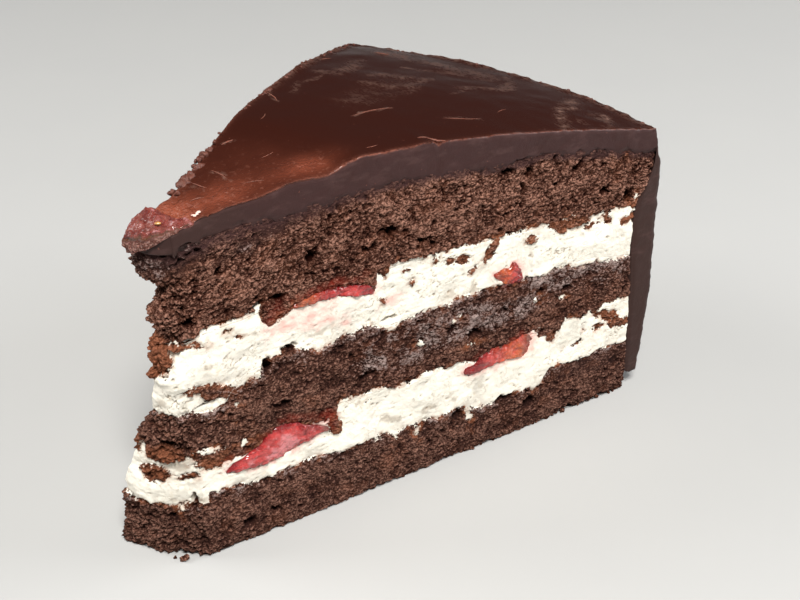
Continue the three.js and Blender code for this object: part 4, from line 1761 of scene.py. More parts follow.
SMUDGES = (
    Smudge(((95.5, 0.5), (98, 5), (100.5, 9), (104, 13), (107, 16.5), (112, 18)), 1.3, 0.7),
    Smudge(((106, 12.4), (108.5, 13)), 0.9, 0.7),
    Smudge(((103, 4), (104, 5.6)), 0.9, 0.7),
    Smudge(((108.4, 2), (111.4, 8.4)), 1.1, 0.8),
    Smudge(((88.5, 30.5), (93, 29.6), (98, 27.8), (102, 29), (105.5, 33), (107, 38)), 1.1, 0.6),
    Smudge(((91, 66), (93, 58), (97, 50), (100, 44), (102, 38)), 2.5, 0.5),
    Smudge(((86, 48.4), (92, 44.4), (97, 42)), 1.3, 0.5),
    Smudge(((75, 31), (79, 36), (80, 41), (76, 44)), 2.0, 0.45),
    Smudge(((81, 36.4), (86, 38)), 1.5, 0.6),
    Smudge(((69, 39), (72.5, 34), (75, 30)), 1.2, 0.5),
    Smudge(((64.5, 48.6), (69, 47.4), (74, 52.6), (79, 57.6)), 1.6, 0.5),
    Smudge(((52, 38), (56, 43.6), (62.5, 46.4)), 0.7, 0.45),
    Smudge(((60, 27), (68, 31), (75, 35)), 4.0, 0.2),
    Smudge(((55, 19.5), (66, 20.3)), 0.3, 0.75),
    Smudge(((45.4, 33.6), (46.6, 39.4)), 0.4, 0.6),
    Smudge(((27.4, 21), (29.6, 21.5)), 0.35, 0.9),
    Smudge(((16.6, 12.6), (18, 9)), 0.3, 0.7),
    Smudge(((21, 13.4), (22.6, 9)), 0.3, 0.6),
    Smudge(((72, 11.6), (79.6, 9.4)), 0.25, 0.4),
    Smudge(((84, 25.4), (87, 28)), 0.5, 0.5),
    Smudge(((90, 62), (96, 66)), 1.6, 0.5),
)


@dataclass(frozen=True)
class PaintedReflection:
    """A patch of painted warm reflection on the coat's top, in plan."""

    middle: Pair
    size: Pair
    strength: float

    def at(self, x: Array, y: Array) -> Array:
        """How strong the patch is at distances along the front cut and from it."""
        across, over = (x - self.middle[0]) / self.size[0], (y - self.middle[1]) / self.size[1]
        return self.strength * np.exp(-(across**2) - over**2)


PAINTED_REFLECTIONS = (
    PaintedReflection((9, 5), (4.5, 6), 1.0),
    PaintedReflection((19, 4.5), (6, 4), 0.42),
    PaintedReflection((37.4, 4.6), (6, 3.2), 0.48),
    PaintedReflection((25, 5), (14, 12), 0.16),
)


@dataclass
class Coat:
    """The chocolate coat over the top and down the rim.

    Each swell of its front edge, and the nick in it, has a place, a height and a width.
    """

    wedge: Wedge
    slab_share: float = 0.62
    shoulder: Pair = (121.4, 120.3)
    shoulder_share: float = 0.08
    end: float = 4.7
    lengthwise: int = 420
    crosswise: int = 140
    rows: int = 18
    arris: tuple[Triple, ...] = (
        (16, 1.0, 7), (38.5, -1.1, 3.2), (46, 0.3, 3), (30, 0.4, 3), (60.8, 0.35, 1.6),
    )
    nick: Triple = (63.4, -0.7, 0.6)
    rough: Wave = Wave(1.6, 4, 81)
    waves: Wave = Wave(16.0, 3, 85, 0.18)
    ridges: Wave = Wave(4.5, 3, 87, 0.22, (0.25, 0.25, 1.0))
    broad: Wave = Wave(6.0, 4, 89)
    ragged: Wave = Wave(2.2, 4, 91)
    drag: Wave = Wave(7.0, 3, 93, 0.1)
    blisters: Wave = Wave(3.0, 2, 95, 0.3)
    drift: tuple[Wave, Wave] = (Wave(4.0, 4, 97, 1.1), Wave(4.0, 4, 99, 1.1))
    skin: Array = field(init=False, repr=False)

    def section(self, t: Array, v: Array, w: Array) -> Array:
        """Points of the coat before any relief.

        Args:
            t: Places along its section, from the tip over the rim to its lower end.
            v: Places from the front cut to the back.
            w: Places through its thickness, from inside to outside.

        Returns:
            The points.
        """
        wedge = self.wedge
        u = np.clip(t / self.slab_share, 0, 1)
        flat = wedge.coat(u, v, lerp(self.shoulder[0], self.shoulder[1], w))
        height = lerp(wedge.coat_foot(u, v), wedge.top(u, v), w)
        slab = np.concatenate([flat, height[..., None]], -1)
        down = np.clip((t - self.slab_share) / (1 - self.slab_share), 0, 1)
        one = np.ones_like(down)
        outer_z = lerp(wedge.top(one, v), self.end, down)
        inner_z = lerp(wedge.coat_foot(one, v), self.end + 0.3, down)
        start = 1 - smoothstep(down, 0, self.shoulder_share)
        outer = lerp(wedge.by_height(wedge.coat_rim, outer_z), self.shoulder[1], start)
        inner = lerp(wedge.by_height(wedge.sponge_rim, inner_z), self.shoulder[0], start)
        radius = lerp(inner, outer, w)
        spread = wedge.rim_spread * (1 - np.clip(outer_z / wedge.rim_height, 0, 1))
        turn = v * (wedge.angle + spread / radius)
        apron = np.stack([radius * np.cos(turn), radius * np.sin(turn), lerp(inner_z, outer_z, w)], -1)
        return np.where((t <= self.slab_share)[..., None], slab, apron)

    def on_apron(self, t: Array) -> Array:
        """How far places along the section are down the rim, from 0 on the top to 1."""
        return smoothstep(t, self.slab_share, self.slab_share + 0.03)

    def lift(self, points: Array, rough: Array) -> Array:
        """How far the top stands over its plain form, where the knife and the spatula left it.

        Args:
            points: Points of the plain form.
            rough: The coat's roughness at those points.

        Returns:
            Heights.
        """
        x, y = points[..., 0], points[..., 1]
        lift = self.waves.at(points)
        lift += sum(high * bump(x, at, wide) for at, high, wide in self.arris) * fade(y, 4.0)
        at, high, wide = self.nick
        lift += high * bump(x, at, wide) * fade(y, 0.8)
        lift += 0.16 * rough * fade(y, 0.7)
        lift += bump(np.hypot(x - 10, y - 8), 0, 8) * (0.28 * rough + self.blisters.at(points))
        return lift

    def dressed(self, t: Array, v: Array, w: Array) -> tuple[Array, Field]:
        """Points of the coat with their relief and colour fields.

        Args:
            t: Places along its section.
            v: Places from the front cut to the back.
            w: Places through its thickness.

        Returns:
            Points and fields.
        """
        t, v, w = np.broadcast_arrays(t, v, w)
        points = self.section(t, v, w)
        x, y = points[..., 0], points[..., 1]
        sine, cosine = math.sin(self.wedge.angle), math.cos(self.wedge.angle)
        apron = self.on_apron(t)
        to_back = x * sine - y * cosine + 0.02
        rough, broad = self.rough.at(points), self.broad.at(points)

        # The top, with a thicker lip along the back cut and over the rim.
        lip = bump(np.clip(to_back, 0, None), 0, 1.5) * smoothstep(t / self.slab_share, 0.3, 0.8)
        shoulder = bump(t, self.slab_share, 0.012)
        lift = self.lift(points, rough)
        lift += lip * (0.45 + 0.5 * broad + 0.16 * rough)
        lift += shoulder * (0.1 + 0.35 * broad + 0.15 * rough)
        points = points.copy()
        points[..., 2] += lift * w * (1 - apron)

        # The rim: level ridges from the spatula.
        ridges = self.ridges.at(points) + 0.1 * rough
        away = points[..., :2] / np.linalg.norm(points[..., :2], axis=-1, keepdims=True)
        points[..., :2] += away * (w * apron * ridges)[..., None]

        # The ragged lower edges of the cut faces and of the rim.
        at_front, at_back = v <= 0, v >= 1
        ragged = lerp(1.7, 1.1, smoothstep(x, 14, 30)) * self.ragged.at(points) * (1 - w) ** 3
        points[..., 2] += np.where(at_front | at_back, ragged * (1 - apron), 0.0)
        points[..., 2] += 0.5 * rough * (t >= 1)

        # The cut faces: flat, with faint drag marks and rounded edges.
        out = self.drag.at(points) + 0.05 * rough + 0.14
        out -= 0.25 * smoothstep(w, 0.86, 1.0) + 0.3 * smoothstep(1 - w, 0.8, 1.0)
        points[..., 1] -= np.where(at_front, out, 0.0)
        points[..., 0] -= np.where(at_back, out * sine, 0.0)
        points[..., 1] += np.where(at_back, out * cosine, 0.0)
        return points, self.fields(points, t, w, np.minimum(y, to_back), lip + shoulder)

    def fields(self, points: Array, t: Array, w: Array, to_cut: Array, lip: Array) -> Field:
        """Colour fields of the coat.

        Args:
            points: Its points.
            t: Places along its section.
            w: Places through its thickness.
            to_cut: Distances from the nearer cut.
            lip: How much each point lies on a ragged ridge.

        Returns:
            The fields.
        """
        x, y = points[..., 0], points[..., 1]
        apron, outside = self.on_apron(t), w >= 1
        scuff = 0.8 * np.clip(lip, 0, 1) * outside
        strayed = points[..., :2] + np.stack([wave.at(points) for wave in self.drift], -1)
        for smudge in SMUDGES:
            scuff = np.maximum(scuff, smudge.at(strayed) * (1 - apron) * outside)
        # Painted reflection: warm patches on the top near the front cut, fainter further back.
        glow = sum(patch.at(x, y) for patch in PAINTED_REFLECTIONS)
        glow *= 1 - 0.55 * smoothstep(x + 0.5 * y, 41, 45)
        # Painted highlight along the top's cut edges, from the tip's end on, half as strong towards the
        # rim.
        edge = fade(to_cut, 0.4) * outside
        edge *= smoothstep(x, 8, 16) * (1 - 0.5 * smoothstep(x, 45, 75)) * (1 - apron)
        return {
            "cut": np.where(outside, 0.35 * apron, 1.0),
            "scuff": scuff,
            "glow": np.clip(glow, 0, 1) * outside,
            "edge": edge,
            "deep": np.maximum(apron, 0.8 * (1 - smoothstep(x, 10, 28))) * ~outside,
        }

    def build(self, finish: Material) -> Piece:
        """Builds the coat.

        Args:
            finish: Its material.

        Returns:
            The coat.
        """

        def crowded(share: Array) -> Array:
            """Steps that lie closer together near both cuts."""
            return 0.6 * share + 0.2 * (1 - np.cos(math.pi * share))

        long, wide = self.lengthwise, self.crosswise
        ring = Ring((long, wide, long, wide), crowded)
        surface = Surface()
        w = np.linspace(0, 1, self.rows + 1)[None, :]
        points, fields = self.dressed(ring.u[:, None], ring.v[:, None], w)
        numbers = surface.add_points(points, fields)
        bands = [Box(0, low, 0.99, low + 0.045) for low in (0.005, 0.055, 0.105, 0.155)]
        ring.strips(surface, numbers, bands)
        t = np.arange(1, long)[:, None] / long
        v = crowded(np.arange(1, wide)[None, :] / wide)
        grid = ring.filled(numbers[:, -1], surface.add_points(*self.dressed(t, v, np.ones(1))))
        surface.add_grid(grid, Box(0.005, 0.21, 0.995, 0.8).spread(grid.shape))
        self.skin = surface.every_point()[grid]
        cap = Coarse(ring, (20, 6))
        under = self.section(cap.u, cap.v, np.zeros_like(cap.u))
        blank = {key: np.zeros(len(under)) for key in fields} | {"cut": np.ones(len(under))}
        inner = surface.add_points(under, blank)
        cap.add(surface, numbers[:, 0], inner, Box(0, 0.82, 0.98, 0.99), flip=True)
        return adopt(surface.build("chocolate_coat_dressed", self.wedge, finish), "coat", "chocolate_coat")


def height_over(points: Array, x: float, y: float) -> float:
    """The height of a surface over a place in plan.

    Args:
        points: The surface's points.
        x: The place's distance along the front cut.
        y: Its distance from the front cut.

    Returns:
        The highest point's height nearby.
    """
    away = np.hypot(points[:, 0] - x, points[:, 1] - y)
    near = away < max(0.6, float(away.min()) + 0.05)
    return float(points[near, 2].max())


@dataclass(frozen=True)
class Lump:
    """One crumb, flake or seed."""

    middle: Triple
    size: Triple
    turn: float = 0.0
    rough: float = 0.5


def pile(lumps: Sequence[Lump], fields: dict[str, float], seed: int) -> Surface:
    """Joins lumps into one mesh.

    Args:
        lumps: The lumps.
        fields: Their attributes, the same all over.
        seed: Which unevenness they have.

    Returns:
        The mesh in the making.
    """
    around, levels, opening = 14, 9, 0.12
    surface = Surface()
    turn = np.arange(around)[:, None] * 2 * math.pi / around
    tilt = np.linspace(opening, math.pi - opening, levels)[None, :]
    sides = [np.sin(tilt) * np.cos(turn), np.sin(tilt) * np.sin(turn), -np.cos(tilt) * np.ones_like(turn)]
    ball = np.stack(sides, -1)
    for i, lump in enumerate(lumps):
        rough = 1 + lump.rough * Noise.fractal(ball + 9.0 * i, 0.8, 3, seed)
        shape = ball * rough[..., None] * np.array(lump.size)
        lean = math.radians(lump.turn)
        x = shape[..., 0] * math.cos(lean) - shape[..., 1] * math.sin(lean)
        y = shape[..., 0] * math.sin(lean) + shape[..., 1] * math.cos(lean)
        points = np.stack([x, y, shape[..., 2]], -1) + np.array(lump.middle)
        # Painted light and shade: each lump is lighter where it bulges and darker where it dips.
        tone = np.clip(0.5 + 0.9 * (rough - 1), 0, 1)
        made = {"height": tone} | {key: np.full(tone.shape, value) for key, value in fields.items()}
        numbers = surface.add_points(points, made)
        surface.add_tube(numbers, Box.cell(i, len(lumps)))
    return surface


@dataclass
class Trimmings:
    """Crumbs at the foot and on the edges, and splinters of chocolate and specks of cream on the top.

    A cluster of crumbs on the back edge has a distance from the axis, a count and a size, and a
    fallen crumb or a speck of cream a place in plan and a size. A splinter goes from one place in
    plan to another and has a width.
    """

    wedge: Wedge
    coat: Coat
    foot_crumbs: int = 46
    edge_crumbs: int = 70
    splinter_sides: int = 6
    splinter_steps: int = 16
    clusters: tuple[tuple[float, int, float], ...] = (
        (17, 5, 0.8), (23, 11, 1.5), (28.5, 9, 1.2), (34, 3, 0.8), (62, 5, 0.9),
    )
    fallen: tuple[Triple, ...] = ((2.6, 1.9, 0.8), (1.2, 3.4, 0.35))
    specks: tuple[Triple, ...] = ((13.3, 2, 0.38), (12.9, 1.7, 0.26), (12.4, 1.6, 0.34), (12, 1.9, 0.2))
    splinters: tuple[Sizes, ...] = (
        (55, 19.6, 65.6, 20.4, 0.34), (45.6, 33.8, 46.4, 40, 0.4), (27, 21.2, 29.8, 21.6, 0.5),
        (16.6, 12.6, 18.2, 8.8, 0.34), (21.4, 14.2, 22.6, 9.6, 0.3), (62.2, 2.4, 65.2, 0.4, 0.7),
        (60.4, 3.2, 62.8, 2.8, 0.4), (72, 11.8, 79.8, 9.2, 0.22), (13.8, 6.8, 16.4, 6.2, 0.36),
        (31, 12.2, 34, 12.8, 0.22), (24.4, 6.2, 27.8, 4.4, 0.26), (49, 3.4, 51.6, 3.6, 0.24),
        (86, 12, 89.4, 13.6, 0.24), (38, 26, 40.2, 28.4, 0.22), (70, 60, 73.4, 61, 0.3),
        (88, 66, 90.6, 63, 0.34),
    )

    def sponge(self, finish: Material) -> Piece:
        """Builds the crumbs at the foot of the cuts and the tip.

        Args:
            finish: Their material.

        Returns:
            The crumbs.
        """
        draw = np.random.default_rng(131)
        lumps = [Lump((x, y, size * 0.75), (size, size * 0.85, size * 0.8)) for x, y, size in self.fallen]
        back = np.array([math.cos(self.wedge.angle), math.sin(self.wedge.angle)])
        for i in range(self.foot_crumbs):
            size, along = draw.uniform(0.3, 0.75), draw.uniform(7, 117)
            place = np.array([along, 0.5]) if i % 2 else back * along + (0.1, -0.1)
            wide = size * draw.uniform(0.7, 1)
            lumps.append(Lump((*place, size * 0.8), (size, wide, size * 0.85), draw.uniform(0, 180)))
        blank = dict.fromkeys(("cream", "film", "stain", "crack", "fringe", "pressed", "coated"), 0.0)
        return adopt(pile(lumps, blank, 133).build("sponge_crumbs", self.wedge, finish), "sponge")

    def chocolate(self, finish: Material) -> Piece:
        """Builds the crumbs of chocolate along the top's edges.

        Args:
            finish: Their material.

        Returns:
            The crumbs.
        """
        draw = np.random.default_rng(135)
        skin = self.coat.skin
        end, columns = len(skin) - 1, skin.shape[1]
        from_axis = np.linalg.norm(skin[:, -1, :2], axis=-1)
        lumps = []
        for at, count, size in self.clusters:
            row = int(np.argmin(np.abs(from_axis - at)))
            for _ in range(count):
                beside = min(max(row + int(draw.normal(0, 4)), 0), end)
                near = skin[beside, -1 - int(draw.uniform(0, 3))]
                bit = size * draw.uniform(0.4, 0.95)
                spot = near + draw.normal(0, 0.3, 3) - (0, 0, 0.2 * bit)
                wide, high = bit * draw.uniform(0.5, 0.9), bit * draw.uniform(0.5, 0.9)
                lumps.append(Lump(tuple(spot), (bit, wide, high), draw.uniform(0, 180)))
        rim = round(self.coat.slab_share * end)
        for i in range(self.edge_crumbs):
            row = int(draw.uniform(0.3, 1) * rim) if i % 2 else rim + int(draw.uniform(-3, 3))
            column = -1 - int(draw.uniform(0, 5)) if i % 2 else int(draw.uniform(0, columns))
            bit = draw.uniform(0.2, 0.55)
            spot = skin[row, column] - (0, 0, 0.3 * bit)
            lumps.append(Lump(tuple(spot), (bit, bit * 0.8, bit * 0.6), draw.uniform(0, 180)))
        # The crumbs take a little of the painted reflection colour and of the edge's painted highlight
        # colour.
        plain = {"cut": 0.5, "scuff": 0.2, "glow": 0.3, "edge": 0.35, "deep": 0.0}
        return adopt(pile(lumps, plain, 137).build("chocolate_crumbs", self.wedge, finish), "coat")

    def shavings(self, finish: Material) -> Piece:
        """Builds the thin splinters on the top.

        Args:
            finish: Their material.

        Returns:
            The splinters.
        """
        surface = Surface()
        skin = self.coat.skin.reshape(-1, 3)
        turn = np.arange(self.splinter_sides)[:, None] * 2 * math.pi / self.splinter_sides
        share = np.linspace(0, 1, self.splinter_steps)
        swell = 0.09 + 0.75 * np.sin(math.pi * share) ** 0.7
        for i, (x0, y0, x1, y1, width) in enumerate(self.splinters):
            chord = np.array([x1 - x0, y1 - y0])
            length = np.linalg.norm(chord)
            sideways = np.array([-chord[1], chord[0]]) / length
            bow = 0.06 * length * np.sin(math.pi * share) * (-1) ** i
            middle = np.array([x0, y0]) + chord * share[:, None] + sideways * bow[:, None]
            z = np.array([height_over(skin, x, y) for x, y in middle])
            thick = width * swell[None, :]
            flat = middle[None, :, :] + (0.5 * thick * np.cos(turn))[..., None] * sideways
            high = z[None, :] + 0.32 * thick * np.sin(turn)
            # The splinters take the edge's lighter painted highlight colour and a little of the painted
            # reflection colour.
            plain = {"cut": 0.3, "scuff": 0.4, "glow": 0.3, "edge": 1.2, "deep": 0.0}
            fields = {key: np.full(high.shape, value) for key, value in plain.items()}
            numbers = surface.add_points(np.concatenate([flat, high[..., None]], -1), fields)
            surface.add_tube(numbers, Box.cell(i, len(self.splinters)))
        return adopt(surface.build("chocolate_splinters", self.wedge, finish), "coat")

    def cream(self, finish: Material) -> Piece:
        """Builds the specks of cream by the fruit on the tip.

        Args:
            finish: Their material.

        Returns:
            The specks.
        """
        skin = self.coat.skin.reshape(-1, 3)
        lumps = []
        for x, y, size in self.specks:
            lumps.append(Lump((x, y, height_over(skin, x, y) + 0.2), (size, size * 0.8, size * 0.6)))
        plain = dict.fromkeys(("film", "crack", "fringe", "pressed", "coated"), 0.0)
        plain |= {"cream": 1.0, "stain": 0.6}
        return adopt(pile(lumps, plain, 139).build("cream_specks", self.wedge, finish), "cream")


@dataclass(frozen=True)
class FruitPiece:
    """A piece of fruit that the knife went through.

    Its outline is given on the cut face, and where it is amber or dirty by a distance along the
    cut and a reach.
    """

    name: str
    outline: tuple[Pair, ...]
    depth: float
    back: bool = False
    proud: float = 0.45
    sunk: float = 0.15
    flesh: float = 0.5
    amber_at: Pair | None = None
    dirt_at: Pair | None = None
    seed: int = 1
    around: int = 160
    front_rings: int = 22
    side_rings: int = 12
    lumps: Wave = Wave(2.0, 4, 101)
    veins: Wave = Wave(3.4, 3, 103, 0.35)
    edge: tuple[Wave, Wave] = (Wave(1.3, 3, 105, 0.3), Wave(1.3, 3, 107, 0.3))

    def rings(self) -> tuple[Array, Array]:
        """The rings of points from the middle of the cut over the edge to the far end.

        Returns:
            Each ring's size as a share of the outline, and how far out it lies.
        """
        middle = 0.05
        across = np.linspace(middle, 1, self.front_rings)
        turn = np.linspace(0, math.pi / 2, self.side_rings + 1)[1:]
        share = np.concatenate([across, np.clip(np.cos(turn), 0.001, 1) ** 0.5])
        out = np.concatenate([self.proud * (1 - across**4), -self.depth * np.sin(turn)])
        return np.clip(share, middle, 1), out - self.sunk

    def rim(self) -> Array:
        """Evenly spaced points round the outline.

        Returns:
            The points, as distance along the cut and height.
        """
        corners = np.array(self.outline, float)
        closed = np.concatenate([corners, corners[:1]])
        length = np.concatenate([[0], np.cumsum(np.linalg.norm(np.diff(closed, axis=0), axis=1))])
        share = np.arange(self.around) / self.around * length[-1]
        rim = np.stack([np.interp(share, length, closed[:, axis]) for axis in (0, 1)], -1)
        for _ in range(3):
            rim = softened(rim)
        flat = np.stack([rim[:, 0], 0 * rim[:, 0] + self.seed, rim[:, 1]], -1)
        return rim + np.stack([wave.at(flat) for wave in self.edge], -1)

    def build(self, wedge: Wedge, finish: Material) -> Piece:
        """Builds the piece.

        Args:
            wedge: The slice's form.
            finish: Its material.

        Returns:
            The piece.
        """
        rim = self.rim()
        middle = rim.mean(0)
        share, out = self.rings()
        place = middle + (rim - middle)[:, None, :] * share[None, :, None]
        out = np.broadcast_to(out, place.shape[:2])
        flat = np.stack([place[..., 0], out, place[..., 1]], -1) + 50.0 * self.seed
        lumps = self.lumps.at(flat)
        beads, _ = Noise.cells(flat, 1.1, 102)
        out = out + (0.34 * lumps + 0.26 * (1 - 2 * beads**2)) * (out > -1)
        angle = wedge.angle if self.back else 0.0
        normal = np.array([-math.sin(angle), math.cos(angle)]) * (1 if self.back else -1)
        direction = np.array([math.cos(angle), math.sin(angle)])
        offset = self.lean(wedge, place[..., 1]) if self.back else 0.0
        level = place[..., :1] * direction + (out + offset)[..., None] * normal
        points = np.concatenate([level, place[..., 1:]], -1)
        fields = self.fields(points, place[..., 0], np.broadcast_to(share, out.shape), lumps)
        surface = Surface()
        surface.add_tube(surface.add_points(points, fields), Box(0.01, 0.02, 0.99, 0.98))
        return adopt(surface.build(self.name + "_dressed", wedge, finish), "fruit", self.name)

    def fields(self, points: Array, along: Array, share: Array, lumps: Array) -> Field:
        """Colour fields of the piece.

        Args:
            points: Its points.
            along: Their distances along the cut.
            share: How near its outline they lie, from 0 in its middle to 1.
            lumps: Their relief.

        Returns:
            The fields.
        """
        tone = self.flesh + 0.3 - 0.75 * share**3 + self.veins.at(points) + 0.2 * lumps
        amber, dirt = np.zeros_like(tone), np.zeros_like(tone)
        if self.amber_at is not None:
            amber = 0.8 * bump(along, *self.amber_at) * np.clip(0.7 + 0.5 * lumps, 0, 1)
        if self.dirt_at is not None:
            dirt = bump(along, *self.dirt_at) * np.clip(0.9 + 0.9 * lumps, 0, 1)
        return {"flesh": tone, "amber": amber, "dirt": dirt}

    @staticmethod
    def lean(wedge: Wedge, z: Array) -> Array:
        """How far the back cut stands out of the plane through the axis.

        Args:
            wedge: The slice's form.
            z: Heights.

        Returns:
            Distances.
        """
        u = np.full(z.shape, 0.5)
        middle = wedge.body(u, np.ones_like(u), z)
        return middle[..., 1] * math.cos(wedge.angle) - middle[..., 0] * math.sin(wedge.angle)


def oval(middle: Pair, size: Pair, tilt: float, seed: int) -> tuple[Pair, ...]:
    """An uneven oval outline.

    Args:
        middle: Its middle's distance along the cut and height.
        size: Its half length and half height.
        tilt: Its tilt in degrees.
        seed: Which unevenness to use.

    Returns:
        The outline's corners.
    """
    corners, uneven = 14, 0.16
    draw = np.random.default_rng(seed)
    turn = np.arange(corners) * 2 * math.pi / corners
    reach = 1 + draw.uniform(-uneven, uneven, corners)
    a, b = size[0] * reach * np.cos(turn), size[1] * reach * np.sin(turn)
    lean = math.radians(tilt)
    x = middle[0] + a * math.cos(lean) - b * math.sin(lean)
    z = middle[1] + a * math.sin(lean) + b * math.cos(lean)
    return tuple(zip(x.tolist(), z.tolist()))


FRUIT = (
    FruitPiece(
        "fruit_front_low_tip",
        (
            (12.6, 20), (14.3, 21.8), (17.3, 22.4), (20.7, 24), (22.9, 25.8), (25.7, 27.2), (29.5, 26),
            (31.8, 24.4), (35, 22.8), (37, 21.6), (33.5, 20.6), (30.9, 20.2), (28.2, 19.5), (24.5, 18.7),
            (21.1, 18.1), (16.5, 19.2), (13.5, 19.1),
        ),
        depth=8, proud=0.8, flesh=0.62, dirt_at=(37.5, 4), seed=2,
    ),
    FruitPiece(
        "fruit_front_low_rim",
        (
            (70.6, 22.6), (71.2, 23.6), (73, 23.8), (74.3, 24.7), (75.6, 25.5), (78.6, 25.9), (81, 25.9),
            (84.8, 26.9), (86.7, 27.3), (88.4, 26.9), (89.4, 25.3), (88.9, 23.5), (87.4, 21.4),
            (85.1, 21.6), (82, 22.1), (78.2, 22.3), (74.7, 21.4), (72, 21.2),
        ),
        depth=7, flesh=0.42, amber_at=(85, 5), dirt_at=(89, 3), seed=3,
    ),
    FruitPiece(
        "fruit_front_high_tip",
        (
            (28.6, 53.9), (31, 54.7), (34, 55.1), (37, 55.2), (40, 54.8), (44, 54.1), (47, 53.2),
            (48.7, 51.6), (48.3, 50.5), (46.4, 51), (44, 51.9), (41.8, 52.4), (39, 52.8), (36, 53.1),
            (33, 53.4), (30, 53.4),
        ),
        depth=8, flesh=0.34, amber_at=(31, 4), dirt_at=(28, 4), seed=4,
    ),
    FruitPiece(
        "fruit_front_high_rim",
        (
            (77.8, 45.6), (79.2, 46), (80.7, 46.4), (81.7, 45.8), (82.2, 46.4), (82.8, 47.2), (83.6, 46.7),
            (84.5, 45.2), (85.2, 43.9), (85.4, 42.6), (84.6, 41.7), (83, 41.5), (81.4, 42.3), (79.7, 43.2),
            (78.3, 44.2),
        ),
        depth=5, flesh=0.4, amber_at=(80.2, 1.8), seed=5,
    ),
    FruitPiece(
        "fruit_back_low",
        oval((58, 22.6), (11, 3.2), -6, 1),
        depth=7, back=True, flesh=0.55, seed=6,
    ),
    FruitPiece(
        "fruit_back_high_tip",
        oval((34, 52.4), (8.5, 2.1), 5, 2),
        depth=7, back=True, flesh=0.35, seed=7,
    ),
    FruitPiece(
        "fruit_back_high_rim",
        oval((88, 47.3), (6, 3.1), 12, 3),
        depth=6, back=True, amber_at=(91, 3), seed=8,
    ),
)


